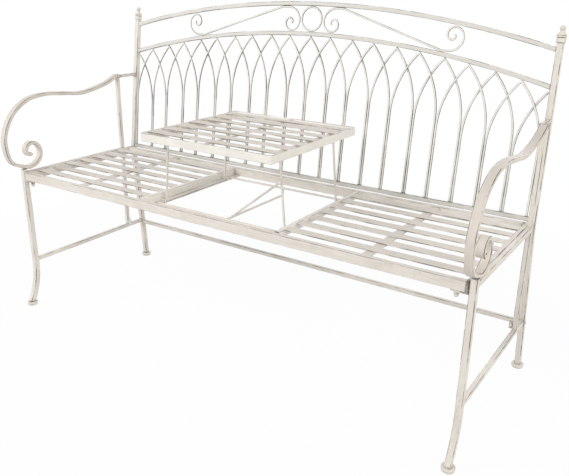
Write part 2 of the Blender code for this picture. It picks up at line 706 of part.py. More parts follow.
def seat_side_inner():
    """Inner face of a seat's side rail."""
    return SIDE_X - BAR / 2 - SEAT_GAP - SIDE_RAIL


def slat_y(i):
    return GAP_MID_Y + (i - (SLATS - 1) / 2) * SLAT_PITCH


def build_seat_slats():
    """Each side seat: slats welded to a side rail and to a cross bar under their middles."""
    front, rear = GAP_FRONT + SEAT_GAP, REAR_RAIL_Y - SEAT_GAP
    rear_end = post_y(SEAT_HEIGHT) - TUBE / 2 / math.cos(LEAN) - RAIL_TALL * math.tan(LEAN) - SEAT_GAP
    slat_start = GAP_HALF + GAP_STRIP + SEAT_GAP
    side_inner = seat_side_inner()
    side_front = max(front, FRONT_LEG_Y + TUBE / 2 + SEAT_GAP)
    cross_x = (slat_start + side_inner) / 2
    bottom = SEAT_HEIGHT - SLAT_THICK
    for side, sign in SIDES:

        def across(name, low_x, high_x, y, z):
            x = sorted((sign * low_x, sign * high_x))
            return box(name, (x[0], y[0], z[0]), (x[1], y[1], z[1]))

        side_outer = side_inner + SIDE_RAIL
        panel = across(
            f"seat_slats_{side}", side_inner, side_outer, (side_front, rear_end), (RAIL_BOTTOM, SEAT_HEIGHT)
        )
        pieces = [
            across(
                f"slat_{side}_{i}", slat_start, side_inner + WELD_DEPTH,
                (slat_y(i) - SLAT_WIDE / 2, slat_y(i) + SLAT_WIDE / 2), (bottom, SEAT_HEIGHT - SEAT_GAP),
            )
            for i in range(SLATS)
        ]
        half = CROSS_BAR_WIDE / 2
        pieces.append(
            across(
                f"cross_bar_{side}", cross_x - half, cross_x + half, (front, rear),
                (bottom - SLAT_THICK, bottom + WELD_DEPTH),
            )
        )
        join(panel, pieces)


def build_brackets():
    """A tab on each front leg carries the end of the front rail, with a bolt through it."""
    top = RAIL_BOTTOM - SEAT_GAP
    leg_face = LEG_X - TUBE / 2 - SEAT_GAP
    for side, sign in SIDES:
        x = sorted((sign * leg_face, sign * (leg_face - BRACKET_LONG)))
        low = (x[0], FRONT_LEG_Y - TUBE / 2, top - BRACKET_THICK)
        tab = box(f"corner_bolt_{side}", low, (x[1], FRONT_LEG_Y + TUBE / 2, top))
        bolt_x = sign * (leg_face - 0.7 * BRACKET_LONG)
        ends = [(0, 0, WELD_DEPTH), (0, 0, -BOLT_LONG)]
        bolt = rod(f"bolt_{side}", ends, BOLT_RADIUS, (bolt_x, FRONT_LEG_Y, top - BRACKET_THICK))
        join(tab, [bolt])


def build_table():
    """The table: a rim on edge round a panel of slats, on two notched bars and a middle bar."""
    carrier = axis_empty("table_slide", (0, GAP_MID_Y, TABLE_TOP))
    x, y = TABLE_HALF, TABLE_HALF_Y
    outer = [(-x, -y), (x, -y), (x, y), (-x, y)]
    inner = [(u * (x - RIM_WALL) / x, v * (y - RIM_WALL) / y) for u, v in outer]
    middle = (0, GAP_MID_Y, TABLE_TOP - RIM_TALL / 2)
    plate("table_rim", [outer, inner], RIM_TALL, middle, parent=carrier)
    end_x, end_y = x - RIM_WALL - SEAT_GAP, y - RIM_WALL - SEAT_GAP
    bottom = TABLE_TOP - SLAT_THICK
    front, rear = GAP_MID_Y - end_y, GAP_MID_Y + end_y
    panel = box(
        "table_slats",
        (-CENTRE_BAR_HALF, front, bottom - CENTRE_BAR_THICK),
        (CENTRE_BAR_HALF, rear, bottom + WELD_DEPTH),
        carrier,
    )
    pieces = [
        box(
            f"table_slat_{i}",
            (-end_x, slat_y(i) - SLAT_WIDE / 2, bottom),
            (end_x, slat_y(i) + SLAT_WIDE / 2, TABLE_TOP - SEAT_GAP),
            carrier,
        )
        for i in range(SLATS)
    ]
    bar_half = TIE_Y - ROD - LEG_BAR_CLEAR
    notches = []
    for side, sign in SIDES:
        bar = sorted((sign * leg_bar_inner(), sign * leg_bar_outer()))
        low = (bar[0], GAP_MID_Y - bar_half, RIM_BOTTOM + LEG_BAR_RISE)
        high = (bar[1], GAP_MID_Y + bar_half, bottom + WELD_DEPTH)
        pieces.append(box(f"leg_bar_{side}", low, high, carrier))
        for end in (-1, 1):
            notches.append(notch(f"notch_{side}_{end}", sign, end))
    join(panel, pieces)
    join(panel, notches, "DIFFERENCE")


def notch(name, sign, end):
    """Cutter for the slot in a leg bar, open below, whose roof rests on the outer end of a peg."""
    low, high = leg_bar_inner() - ROD, leg_bar_outer() + ROD
    roof = PEG_Z + ROD + SEAT_GAP
    rise = math.tan(NOTCH_SLOPE)
    outline = [
        (low, RIM_BOTTOM - ROD),
        (high, RIM_BOTTOM - ROD),
        (high, roof - ROD * rise),
        (low, roof + (ROD + LEG_BAR_THICK) * rise),
    ]
    place = (0, GAP_MID_Y + end * LEG_OFFSET, 0)
    return plate(name, [[(sign * u, v) for u, v in outline]], 2 * (ROD + NOTCH_SIDE), place, FRONT_VIEW)


def leg_bar_outer():
    return leg_bar_inner() + LEG_BAR_THICK


def leg_bar_inner():
    """Inner face of a leg bar, clear of the leaning leg beside it."""
    below = PEG_Z - (RIM_BOTTOM + LEG_BAR_RISE)
    return LEG_TIP_X + below * math.tan(LEG_LEAN) + ROD / math.cos(LEG_LEAN) + 2 * SEAT_GAP


def leg_path(sign, y):
    """A leg from its pivot up to a peg bent outwards at its tip, from the pivot's middle."""
    tip = Vector((LEG_TIP_X - PIVOT_X, PEG_Z - PIVOT_Z))
    up = tip.normalized()
    peg_end = Vector((leg_bar_outer() - SEAT_GAP - PIVOT_X, tip.y))
    turn = math.pi / 2 + LEG_LEAN
    reach = PEG_BEND * math.tan(turn / 2)
    start = tip - up * reach
    across = Vector((up.y, -up.x))
    centre = start + across * PEG_BEND
    first = math.atan2(-across.y, -across.x)
    points = [Vector((0, 0))] + arc(centre, PEG_BEND, first, first - turn, 4) + [peg_end]
    return [(sign * p.x, y, p.y) for p in points]


def build_legs():
    """Two leg frames: a pivot rod on the ledge and two legs; the right one carries the stay's pin."""
    for side, sign in SIDES:
        pivot = (sign * PIVOT_X, GAP_MID_Y, PIVOT_Z)
        carrier = axis_empty(f"table_legs_{side}_axis", pivot)
        ends = [(0, -PIVOT_HALF, 0), (0, PIVOT_HALF, 0)]
        frame = as_mesh(rod(f"table_legs_{side}", ends, ROD, pivot, parent=carrier))
        legs = [
            rod(f"leg_{side}_{end}", leg_path(sign, end * LEG_OFFSET), ROD, pivot, parent=carrier)
            for end in (-1, 1)
        ]
        if sign > 0:
            eye = stay_eye()
            head = STAY_Y - STAY_HALF - STAY_PLAY
            pin = [(0, GAP_MID_Y - LEG_OFFSET, 0), (0, head - ROD, 0)]
            collar = [(0, head, 0), (0, head - ROD, 0)]
            place = (eye.x, 0, eye.y)
            legs.append(rod("stay_pin", pin, STAY_PIN, place, parent=carrier))
            legs.append(rod("stay_pin_head", collar, STAY_EYE_RADIUS - STAY_PLAY, place, parent=carrier))
        paint(join(frame, legs))


def stay_eye():
    """The middle of the stay's eye, on the right front leg."""
    return Vector((PIVOT_X - STAY_EYE_UP * math.sin(LEG_LEAN), PIVOT_Z + STAY_EYE_UP * math.cos(LEG_LEAN)))


def build_stay():
    """A stay that hangs on the right front leg and hooks under the middle rod."""
    eye = stay_eye()
    hook = Vector((0, CENTRE_ROD_Z)) - eye
    wrap = ROD + STAY_PLAY + STAY_HALF
    away = -hook
    tangent = math.atan2(away.y, away.x) - math.acos(wrap / hook.length)
    bend = arc(hook, wrap, tangent, STAY_HOOK_END, 8)
    run = (bend[0]).normalized()
    path = [run * STAY_EYE_RADIUS * 0.5] + bend
    sides = strip(path, STAY_HALF)
    heading = math.atan2(run.y, run.x)
    spread = math.asin(STAY_HALF / STAY_EYE_RADIUS)
    head = arc((0, 0), STAY_EYE_RADIUS, heading - spread, heading + spread - math.tau, 16)
    half = len(path)
    outline = head + sides[1:half] + sides[half : 2 * half - 1]
    hole = arc((0, 0), STAY_PIN + STAY_PLAY, 0, math.tau, 12)[:-1]
    plate("stay", [outline, hole], 2 * STAY_HALF, (eye.x, STAY_Y, eye.y), FRONT_VIEW)


def build_tie_rods():
    """Rods across the gap on its ledges, and a middle rod hung below them for the stay, in one weldment."""
    low, bend = CENTRE_ROD_Z, CENTRE_ROD_BEND
    corner = arc((TIE_Y - bend, low + bend), bend, -math.pi / 2, 0, 5)
    rear = corner + [Vector((TIE_Y, PIVOT_Z))]
    front = [Vector((-p.x, p.y)) for p in rear[::-1]]
    middle = as_mesh(rod("gap_tie_frame", [(0, p.x, p.y) for p in front + rear], ROD, (0, GAP_MID_Y, 0)))
    end = GAP_HALF - TIE_END
    ties = [
        rod(f"tie_{sign}", [(-end, 0, 0), (end, 0, 0)], ROD, (0, GAP_MID_Y + sign * TIE_Y, PIVOT_Z))
        for sign in (-1, 1)
    ]
    paint(join(middle, ties))


def centre_bench():
    """Moves the whole bench so that its box is centred over the origin, front to back."""
    bpy.context.view_layer.update()
    graph = bpy.context.evaluated_depsgraph_get()
    reach = []
    for obj in PARTS.objects:
        if obj.type == "EMPTY":
            continue
        shape = obj.evaluated_get(graph)
        mesh = shape.to_mesh()
        depths = [(shape.matrix_world @ vertex.co).y for vertex in mesh.vertices]
        reach += [min(depths), max(depths)]
        shape.to_mesh_clear()
    ROOT.location.y = -(min(reach) + max(reach)) / 2


def main():
    build_posts()
    build_sides()
    build_rear_stretcher()
    build_back_rails()
    build_arches()
    build_scrolls()
    build_seat_rails()
    build_seat_slats()
    build_brackets()
    build_table()
    build_legs()
    build_stay()
    build_tie_rods()
    centre_bench()


clear_scene()
PARTS = new_collection("garden_bench_with_table")
HELPERS = new_collection("weld_pieces_and_cutters")
ROOT = bpy.data.objects.new("bench", None)
PARTS.objects.link(ROOT)
main()
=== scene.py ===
"""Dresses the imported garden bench: painted iron bars, rods, slats and fasteners, worn cream paint, and a studio.

The frame holds the bench's solids. Each operator builds one group of pieces over them, in metres, in its axes.
"""

import math
from types import SimpleNamespace

import bmesh
import bpy
from bpy.props import FloatProperty, FloatVectorProperty, PointerProperty
from bpy.types import Operator, Panel, PropertyGroup
from mathutils import Euler, Matrix, Vector


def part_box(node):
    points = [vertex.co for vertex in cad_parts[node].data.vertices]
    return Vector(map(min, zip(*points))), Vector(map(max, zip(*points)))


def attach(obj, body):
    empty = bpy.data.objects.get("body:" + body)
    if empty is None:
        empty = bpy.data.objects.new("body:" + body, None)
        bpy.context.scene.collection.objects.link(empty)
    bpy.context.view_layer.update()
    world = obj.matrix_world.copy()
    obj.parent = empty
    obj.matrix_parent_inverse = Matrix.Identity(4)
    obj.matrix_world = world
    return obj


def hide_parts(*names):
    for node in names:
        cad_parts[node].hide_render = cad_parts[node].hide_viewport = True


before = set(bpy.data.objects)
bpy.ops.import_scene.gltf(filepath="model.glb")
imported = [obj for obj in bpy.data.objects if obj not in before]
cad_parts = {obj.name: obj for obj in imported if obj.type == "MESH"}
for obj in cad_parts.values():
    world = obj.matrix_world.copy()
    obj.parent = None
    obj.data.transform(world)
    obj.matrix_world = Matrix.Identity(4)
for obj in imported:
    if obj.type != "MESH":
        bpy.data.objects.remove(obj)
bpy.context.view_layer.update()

bl_info = {
    "name": "Garden bench with table",
    "version": (1, 0, 0),
    "blender": (4, 5, 0),
    "location": "3D View > Sidebar > Bench",
    "description": "Builds the painted pieces of a garden bench whose middle rises to make a table",
    "category": "Object",
}

SIDES = (("left", -1), ("right", 1))
UP = Vector((0, 0, 1))
RIGHT = Vector((1, 0, 0))
BACK = Vector((0, 1, 0))

# Sizes, in metres, that follow from the solids
ARM_RISE = 0.257  # arm's middle above the seat, at its upright
POST_BEHIND = 0.054  # rear post behind the upright, at the seat
BEND_DROP = 0.025  # bend of a rear post below the seat
BEND_RADIUS = 0.250  # of a rear post
LEG_BEND_Z = 0.140  # where a front leg starts to bend forward
RAIL_LIFT = 0.001  # the back's bottom rail above the seat
FRONT_RAIL_DEEP = 0.014
LEDGE = 0.025  # width of a ledge beside the gap
STRIP = 0.012  # top strip of a rail beside the gap, and a seat's side rail
STRAP = 0.003  # thickness of the straps over the pivot rods
PIVOT_IN = 0.021  # pivot rods in from the gap's sides
PEG_DROP = 0.0136  # pegs below the table's top
LEG_TIP_IN = 0.030  # leg tips in from the table's sides
LEG_PLAY = 0.0022  # between a leg and the slat beside it
ROD_PAST = 0.016  # pivot rods past the legs, and tie rods past the pivot rods
MIDDLE_ROD_DROP = 0.022  # middle tie rod below the pivot rods
EYE_UP = 0.1235  # the stay's eye up its leg
LEG_BAR_LIFT = 0.001  # leg bars above the rim's lower edge
TAB = 0.003  # thickness of the tab under a front corner
ARM_BOW = 0.057  # bow of an arm in front of its leg
ARM_DIP, ARM_CREST = 0.219, 0.232  # lowest and highest place of an arm's wave above the seat
ARM_EYE = Vector((0.0295, 0.0615))  # eye of an arm's scroll behind its leg and above the seat
TUBE_EDGE = 0.0004  # how much rounder a tube's edges are than a bar's
SLAT_EDGE = 0.0011

SPLAY = math.radians(1.16)  # of the posts, outwards towards their feet
CUP = 0.66  # height of a foot's cup, as a share of the foot's
SLATS = 7
ARCHES = 21
ROUND = 60  # degrees up to which the edges of rods and turned forms stay smooth
TURNED = 28  # sides of the finials and the feet
BEVELLED = (0.75, 1, 1, 0.75)  # size of a rod at its ends, and just inside them

# Each lamp's setting, place, size and tint
LAMPS = (
    ("key", (-3.0, -3.3, 3.2), 2.8, (1.0, 0.985, 0.97)),
    ("fill", (5.5, -2.4, 3.1), 3.0, (1.0, 0.955, 0.86)),
    ("back", (0.8, 5.2, 2.2), 3.4, (1.0, 1.0, 1.0)),
)
LAMP_AIM = Vector((0, 0, 0.5))
CAMERA_SHIFT = (-0.0007, -0.0018)  # of the picture, as shares of its width
FLOOR_RADIUS = 14
SHADOW = 0.045  # share of the floor's own shade that shows under the bench
SHADOW_NEAR, SHADOW_FAR = 0.9, 2.2  # where that share starts to fade, and where it ends


def length(name, description, default):
    return FloatProperty(name=name, description=description, default=default, unit="LENGTH")


def angle(name, description, degrees):
    return FloatProperty(name=name, description=description, default=math.radians(degrees), subtype="ANGLE")


def power(name, description, default):
    return FloatProperty(name=name, description=description, default=default, subtype="POWER")


def share(name, description, default):
    return FloatProperty(name=name, description=description, default=default, min=0, max=1, subtype="FACTOR")


def colour(name, description, default):
    return FloatVectorProperty(name=name, description=description, default=default, min=0, max=1, subtype="COLOR")


class FrameSizes(PropertyGroup):
    """Sizes of the bench's frame"""

    tube: length("Tube", "Square tube of the posts and legs", 0.016)
    bar: length("Bar", "Square bar of the rails, uprights and stretchers", 0.012)
    rod: length("Rod radius", "Round rod of the arches, table legs and ties", 0.003)
    scroll_rod: length("Scroll rod radius", "Round rod of the scrolls and the ring", 0.00275)
    edge: length("Edge", "Rounding of the bars' long edges", 0.0017)
    seat_gap: length("Seat gap", "Space between pieces that rest on each other", 0.0003)
    post_rise: length("Post rise", "Tops of the rear posts above the seat", 0.444)
    post_inset: length("Post inset", "Tops of the rear posts in from the front legs", 0.015)
    back_rake: length("Back rake", "How far the posts lean back over their rise", 0.0525)
    top_rail_drop: length("Top rail drop", "Ends of the top rail below the posts' tops", 0.016)
    top_rail_arch: length("Top rail arch", "Rise of the top rail's middle above its ends", 0.088)
    band_middle: length("Scroll band, middle", "Between the arched rails at mid-length", 0.086)
    band_end: length("Scroll band, ends", "Between the arched rails at the posts", 0.090)
    arch_rise: length("Arch rise", "Height of the curved part of an arch", 0.172)
    inner_share: share("Inner scroll size", "Its first radius as a share of the room between the rails", 0.785)
    outer_share: share("Outer scroll size", "Its first radius as a share of the room between the rails", 0.690)
    scroll_inner: length("Inner scroll", "Inner scroll's place from the middle", 0.0742)
    scroll_outer: length("Outer scroll", "Outer scroll's place from the middle", 0.445)
    arm_wide: length("Arm width", "Width of the arm strip", 0.020)
    arm_thick: length("Arm thickness", "Thickness of the arm strip", 0.010)
    arm_link: length("Arm link", "Width of the narrow end between an upright and its post", 0.012)
    arm_scroll: length("Arm scroll", "First radius of an arm's scroll", 0.0515)
    foot_tall: length("Foot height", "Height of a foot cap", 0.016)
    foot_radius: length("Foot radius", "Radius of a foot cap at its widest", 0.0155)
    finial_tall: length("Finial height", "Height of a finial", 0.041)
    finial_radius: length("Finial radius", "Radius of a finial at its widest", 0.0125)
    rail_tall: length("Seat rail height", "Height of the seat's rails", 0.025)
    rail_wall: length("Seat rail wall", "Thickness of the seat's rails", 0.0025)
    slat_wide: length("Slat width", "Width of a slat", 0.029)
    slat_thick: length("Slat thickness", "Thickness of a slat", 0.003)
    bolt: length("Bolt", "Width of a bolt head across its corners", 0.011)


class TableSizes(PropertyGroup):
    """Sizes of the table and its mechanism"""

    rim_wall: length("Rim wall", "Thickness of the table's rim", 0.003)
    leg_bar: length("Leg bar", "Thickness of the bars that the leg tips carry", 0.003)
    notch_side: length("Notch side", "Play of a leg tip in its notch", 0.0006)
    peg_bend: length("Peg bend", "Bend radius at a leg's tip", 0.0036)
    stay_half: length("Stay half", "Half the thickness of the stay", 0.0025)
    stay_eye: length("Stay eye", "Outer radius of the stay's eye", 0.0062)
    stay_pin: length("Stay pin", "Radius of the pin that carries the stay", 0.0027)
    stay_play: length("Stay play", "Play of the stay on its pin", 0.0004)


class PaintLook(PropertyGroup):
    """Colours and wear of the paint"""

    cream: colour("Cream", "Main colour of the paint", (0.82, 0.79, 0.74))
    # Painted shade: a darker cream for the slats' tops
    shaded: colour("Shaded cream", "Colour of the paint on the slats, darkened as painted shade on their tops", (0.77, 0.73, 0.68))
    # Painted shade: the arms' cream is darker to match how shaded they look
    shaded_arm_cream: colour("Shaded arm cream", "Colour of the paint on the arms, darkened as painted shade", (0.735, 0.692, 0.642))
    cool: colour("Cool cream", "Colour of the paint on the back's rails", (0.72, 0.714, 0.69))
    pale: colour("Pale cream", "Colour of the paint on the rods and the table's rim", (0.90, 0.883, 0.845))
    warm: colour("Warm tone", "Where the paint is thin and warmer", (0.64, 0.585, 0.525))
    # Painted shade: a near-black for the rods' sides
    side_shade_grey: colour("Grey tone", "Painted shade on the rods' sides", (0.040, 0.039, 0.036))
    # Also the colour of the painted shade on the slats' narrow sides
    rub_and_shade: colour("Rubbed edge and slat shade", "Where edges are worn through, and painted shade on the slats' narrow sides", (0.075, 0.062, 0.050))
    # Grime, and painted shade: the joints darken where faces stand close together
    grime_and_shade: colour("Grime and shade", "What gathers in the joints, and the painted shade there", (0.17, 0.15, 0.125))
    rough: share("Roughness", "Roughness of the sound paint", 0.50)


class StudioLook(PropertyGroup):
    """Camera and light"""

    place: FloatVectorProperty(
        name="Camera place", description="Where the camera stands", default=(1.1069, -1.5184, 1.0323),
        subtype="TRANSLATION", unit="LENGTH",
    )
    turn: angle("Camera turn", "Camera's turn about the upright", 33.41)
    dip: angle("Camera dip", "How far the camera looks down", 20.75)
    roll: angle("Camera roll", "Camera's roll", 0.74)
    lens: FloatProperty(name="Lens", description="Focal length in millimetres", default=42.68)
    ambient: FloatProperty(name="Ambient", description="Strength of the even light from all round", default=0.425)
    key: power("Key light", "Power of the main lamp", 135)
    fill: power("Fill light", "Power of the lamp on the other side", 160)
    back: power("Back light", "Power of the lamp behind the bench", 80)


# Places that several pieces share


def centre(name):
    """Middle of a node's box."""
    low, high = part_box(name)
    return (low + high) / 2


def plan():
    """Heights, depths and slopes worked out from the frame and the sizes."""
    s, t = bpy.context.scene.bench_frame, bpy.context.scene.bench_table
    p = SimpleNamespace(s=s, t=t)
    rim_low, rim_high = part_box("table_rim")
    front_low, front_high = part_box("seat_front_rail")
    p.mid_y = centre("table_rim").y
    p.table_half, p.table_half_y = rim_high.x, (rim_high.y - rim_low.y) / 2
    p.table_top, p.rim_bottom = rim_high.z, rim_low.z
    p.seat = front_high.z
    p.leg_x = centre("front_leg_right").x
    p.side_x = centre("side_bar_right").x
    p.post_x = p.leg_x - s.post_inset
    p.upright_y = centre("arm_upright_right").y
    p.arm_z = p.seat + ARM_RISE
    p.post_seat_y = p.upright_y + POST_BEHIND
    p.post_top = p.seat + s.post_rise
    p.lean = math.atan2(s.back_rake, s.post_rise)
    p.bend_z = p.seat - BEND_DROP
    p.rear_foot_y = centre("rear_foot_right").y
    p.leg_slope = (p.rear_foot_y - post_y(p, p.bend_z)) / (p.bend_z - s.foot_tall)
    p.back_half = p.post_x - s.tube / 2 + (p.post_top - arch_end(p)) * math.tan(SPLAY)
    p.gap_front = front_low.y + FRONT_RAIL_DEEP
    p.gap_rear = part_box("seat_rear_rail")[0].y
    p.slat_pitch = (p.gap_rear - p.gap_front + s.slat_wide) / (SLATS + 1)
    p.rail_bottom = p.seat - s.rail_tall
    p.ledge_top = p.rail_bottom + s.rail_wall
    p.gap_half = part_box("gap_rail_right")[1].x - STRIP
    p.pivot = Vector((p.gap_half - PIVOT_IN, p.mid_y, p.ledge_top + s.seat_gap + s.rod))
    p.peg_z = p.table_top - PEG_DROP
    p.leg_tip_x = p.table_half - LEG_TIP_IN
    p.leg_offset = 2 * p.slat_pitch + s.slat_wide / 2 + s.rod + LEG_PLAY
    p.leg_lean = math.atan2(p.pivot.x - p.leg_tip_x, p.peg_z - p.pivot.z)
    p.pivot_half = p.leg_offset + ROD_PAST
    p.tie_y = p.pivot_half + ROD_PAST
    p.centre_rod_z = p.pivot.z - MIDDLE_ROD_DROP
    p.stay_y = p.mid_y - p.leg_offset - s.rod - t.stay_play - t.stay_half
    p.eye = p.pivot + EYE_UP * Vector((-math.sin(p.leg_lean), 0, math.cos(p.leg_lean)))
    return p


def arch_end(p):
    return p.post_top - p.s.top_rail_drop - p.s.band_end


def post_y(p, z):
    """Middle of a rear post above its bend."""
    return p.post_seat_y + (z - p.seat) * math.tan(p.lean)


def rear_leg_y(p, z):
    """Middle of a rear leg below its bend."""
    return post_y(p, p.bend_z) + (p.bend_z - z) * p.leg_slope


def leg_ends(p):
    """Heights of a leg's last points, the lowest inside its foot's cup."""
    cup = CUP * p.s.foot_tall
    return cup + 0.004, cup + 0.002, cup - 0.001


def post_inner(p, z):
    """Inner face of a rear post, less the space that a bar between the posts needs."""
    return p.post_x + (p.post_top - z) * math.tan(SPLAY) - p.s.tube / 2 / math.cos(SPLAY) - p.s.seat_gap


def on_back(p, u, v, out=0.0):
    """A place on the leaning back: along it, up it from seat height, and out of it to the front."""
    sin, cos = math.sin(p.lean), math.cos(p.lean)
    return Vector((u, p.post_seat_y + v * sin - out * cos, p.seat + v * cos + out * sin))


def back_normal(p):
    return Vector((0, -math.cos(p.lean), math.sin(p.lean)))


def up_back(p, z):
    return (z - p.seat) / math.cos(p.lean)


def arched(p, peak, end):
    """Distance up the back of an arched rail's middle line, over x."""
    sag = peak - end
    radius = (p.back_half**2 + sag**2) / (2 * sag)
    return lambda x: up_back(p, peak - radius + math.sqrt(radius**2 - x**2))


def top_rail_line(p):
    end = p.post_top - p.s.top_rail_drop
    return arched(p, end + p.s.top_rail_arch, end)


def arch_rail_line(p):
    peak = p.post_top - p.s.top_rail_drop + p.s.top_rail_arch - p.s.band_middle
    return arched(p, peak, arch_end(p))


def slope(line, x):
    return (line(x + 0.001) - line(x - 0.001)) / 0.002


def beside(line, x, space):
    """How far up or down the back a space square to a sloping line reaches at x."""
    return space * math.sqrt(1 + slope(line, x) ** 2)


def slat_y(p, i):
    return p.mid_y + (i - SLATS // 2) * p.slat_pitch


# Lines and sections


def arc(middle, radius, start, end, steps):
    """Points on an arc, angles from +u towards +v."""
    return spiral(middle, start, end - start, radius, radius, steps, 1)


def spiral(middle, start, turn, outer, inner, steps, closing):
    """Points on a spiral that closes from its outer radius to its inner one."""
    points = []
    for i in range(steps + 1):
        t = i / steps
        radius, way = outer - (outer - inner) * t**closing, start + turn * t
        points.append(Vector((middle[0] + radius * math.cos(way), middle[1] + radius * math.sin(way))))
    return points


def smooth(knots, steps):
    """A smooth line through the knots."""
    points = []
    for i in range(len(knots) - 1):
        before, start = Vector(knots[max(i - 1, 0)]), Vector(knots[i])
        end, after = Vector(knots[i + 1]), Vector(knots[min(i + 2, len(knots) - 1)])
        for j in range(steps):
            t = j / steps
            bend = 2 * before - 5 * start + 4 * end - after
            cubic = 3 * start - before - 3 * end + after
            points.append(0.5 * (2 * start + (end - before) * t + bend * t**2 + cubic * t**3))
    return points + [Vector(knots[-1])]


def rounded(corners, edge, steps=3):
    """A closed outline with its corners rounded."""
    outline = []
    for i, corner in enumerate(corners):
        corner = Vector(corner)
        back, ahead = Vector(corners[i - 1]) - corner, Vector(corners[(i + 1) % len(corners)]) - corner
        reach = min(edge, 0.45 * back.length, 0.45 * ahead.length)
        start, end = corner + back.normalized() * reach, corner + ahead.normalized() * reach
        for j in range(steps + 1):
            t = j / steps
            outline.append((1 - t) ** 2 * start + 2 * t * (1 - t) * corner + t**2 * end)
    return outline


def edged(corners, edge, steps=3):
    """A closed section with rounded corners, as (u, v, wear): wear is highest in the middle of each corner."""
    worn = [math.sqrt(math.sin(math.pi * j / steps)) if 0 < j < steps else 0.0 for j in range(steps + 1)]
    return [(*point, worn[i % (steps + 1)]) for i, point in enumerate(rounded(corners, edge, steps))]


def bar_section(wide, tall, edge, steps=3):
    w, h = wide / 2, tall / 2
    return edged([(-w, -h), (w, -h), (w, h), (-w, h)], edge, steps)


def slat_section(thick, wide, edge):
    """A flat bar's section whose narrow sides are darkened all over: painted shade along the slats' sides."""
    flat = thick / 2 - 0.1 * edge
    # The narrow sides get painted shade: dark lines that stand in for the shade in the gaps between slats
    return [(u, v, 0.6 * (abs(u) < flat)) for u, v, _ in bar_section(thick, wide, edge)]


def rod_section(radius):
    return [(*point, 0.0) for point in arc((0, 0), radius, 0, math.tau, 12)[:-1]]


# Meshes


def new_shape():
    """An empty shape whose points can tell how dark their worn paint and painted shade make them, and where they
    lie along the brush.
    """
    shape = bmesh.new()
    shape.verts.layers.float.new("wear")
    shape.verts.layers.float_vector.new("brush")
    return shape


def sweep(shape, path, section, side, closed=False, grow=None, cuts=(None, None), tips=(0, 0)):
    """Adds a bar to a shape: a section of (u, v, wear) carried along a flat path, whose plane is square to side.

    cuts are the directions that the start and the end are cut square to, where that isn't the bar's own, and tips
    are how dark the path's first two points and its last two are made; on the legs this is painted shade at their
    feet."""
    path, side = [Vector(point) for point in path], Vector(side).normalized()
    wear, brush = shape.verts.layers.float["wear"], shape.verts.layers.float_vector["brush"]
    last, rings = len(path) - 1, []
    along = path[0].dot(Vector((3.1, 5.7, 7.3)))
    for i, point in enumerate(path):
        ahead = path[(i + 1) % len(path)] - point if closed or i < last else point - path[i - 1]
        behind = point - path[i - 1] if closed or i > 0 else ahead
        ahead, behind = ahead.normalized(), behind.normalized()
        run = (ahead + behind).normalized()
        across = side.cross(run)
        mitre = 1 / max(0.4, run.dot(ahead))
        size = grow[i] if grow else 1
        ring = [point + across * (u * size * mitre) + side * (v * size) for u, v, _ in section]
        cut = cuts[0] if i == 0 else cuts[1] if i == last else None
        if cut is not None:
            cut = Vector(cut)
            ring = [q - run * ((q - point).dot(cut) / run.dot(cut)) for q in ring]
        rings.append([shape.verts.new(q) for q in ring])
        along += (point - path[max(i - 1, 0)]).length
        for vert, (u, v, worn) in zip(rings[-1], section):
            vert[wear] = max(worn, tips[0] if i < 2 else 0, tips[1] if i > last - 2 else 0)
            vert[brush] = (u, v, along)
    skin(shape, rings, closed)


def skin(shape, rings, closed=False):
    """Adds faces between rings of points, and over both ends where the rings don't close."""
    for a, b in zip(rings, rings[1:] + rings[:1] if closed else rings[1:]):
        for j in range(len(a)):
            k = (j + 1) % len(a)
            shape.faces.new((a[j], a[k], b[k], b[j]))
    if not closed:
        shape.faces.new(rings[0][::-1])
        shape.faces.new(rings[-1])


def lathe(shape, profile, place, sides, worn=()):
    """Adds a turned form: a profile of (radius, height) from its top on the axis to its bottom on the axis.

    worn holds (low, high, wear) for the stretches of its height that are rubbed."""
    rings, wear, brush = [], shape.verts.layers.float["wear"], shape.verts.layers.float_vector["brush"]
    for radius, height in profile:
        spots = [Vector((0, 0, height))]
        if radius > 0:
            angles = [math.tau * i / sides for i in range(sides)]
            spots = [Vector((radius * math.cos(a), radius * math.sin(a), height)) for a in angles]
        rings.append([shape.verts.new(place @ spot) for spot in spots])
        for vert, spot in zip(rings[-1], spots):
            vert[wear] = max([amount for low, high, amount in worn if low <= height <= high], default=0.0)
            vert[brush] = spot
    for a, b in zip(rings, rings[1:]):
        for i in range(sides):
            j = (i + 1) % sides
            if len(a) == 1:
                shape.faces.new((a[0], b[i], b[j]))
            elif len(b) == 1:
                shape.faces.new((a[i], b[0], a[j]))
            else:
                shape.faces.new((a[i], b[i], b[j], a[j]))


def facing(point, direction):
    """A place at a point, with its own upright along a direction."""
    return Matrix.Translation(point) @ Vector(direction).to_track_quat("Z", "Y").to_matrix().to_4x4()


def add_piece(shape, stem, form, paint, body="bench", sharp=40):
    """Turns a shape into a painted piece on a body. With a form, it stands for the node that its stem names."""
    name = f"{stem}_{form}" if form else stem
    material = bpy.data.materials.get(paint)
    if material is None:
        raise RuntimeError(f"{paint} isn't mixed yet")
    bmesh.ops.recalc_face_normals(shape, faces=shape.faces)
    mesh = bpy.data.meshes.new(name)
    shape.to_mesh(mesh)
    shape.free()
    mesh.shade_smooth()
    mesh.set_sharp_from_angle(angle=math.radians(sharp))
    mesh.materials.append(material)
    piece = bpy.data.objects.new(name, mesh)
    bpy.context.scene.collection.objects.link(piece)
    piece.modifiers.new("Flat faces", "WEIGHTED_NORMAL").keep_sharp = True
    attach(piece, body)
    if form:
        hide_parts(stem)


def scaled(profile, radius, height):
    return [(u * radius, v * height) for u, v in profile]


def bead(shape, foot, direction, radius):
    """Adds a small weld round the foot of a rod."""
    profile = [(0, 1.1), (0.62, 0.95), (1.15, 0.45), (1.5, 0), (0, 0)]
    lathe(shape, scaled(profile, radius, radius), facing(foot, direction), 10)


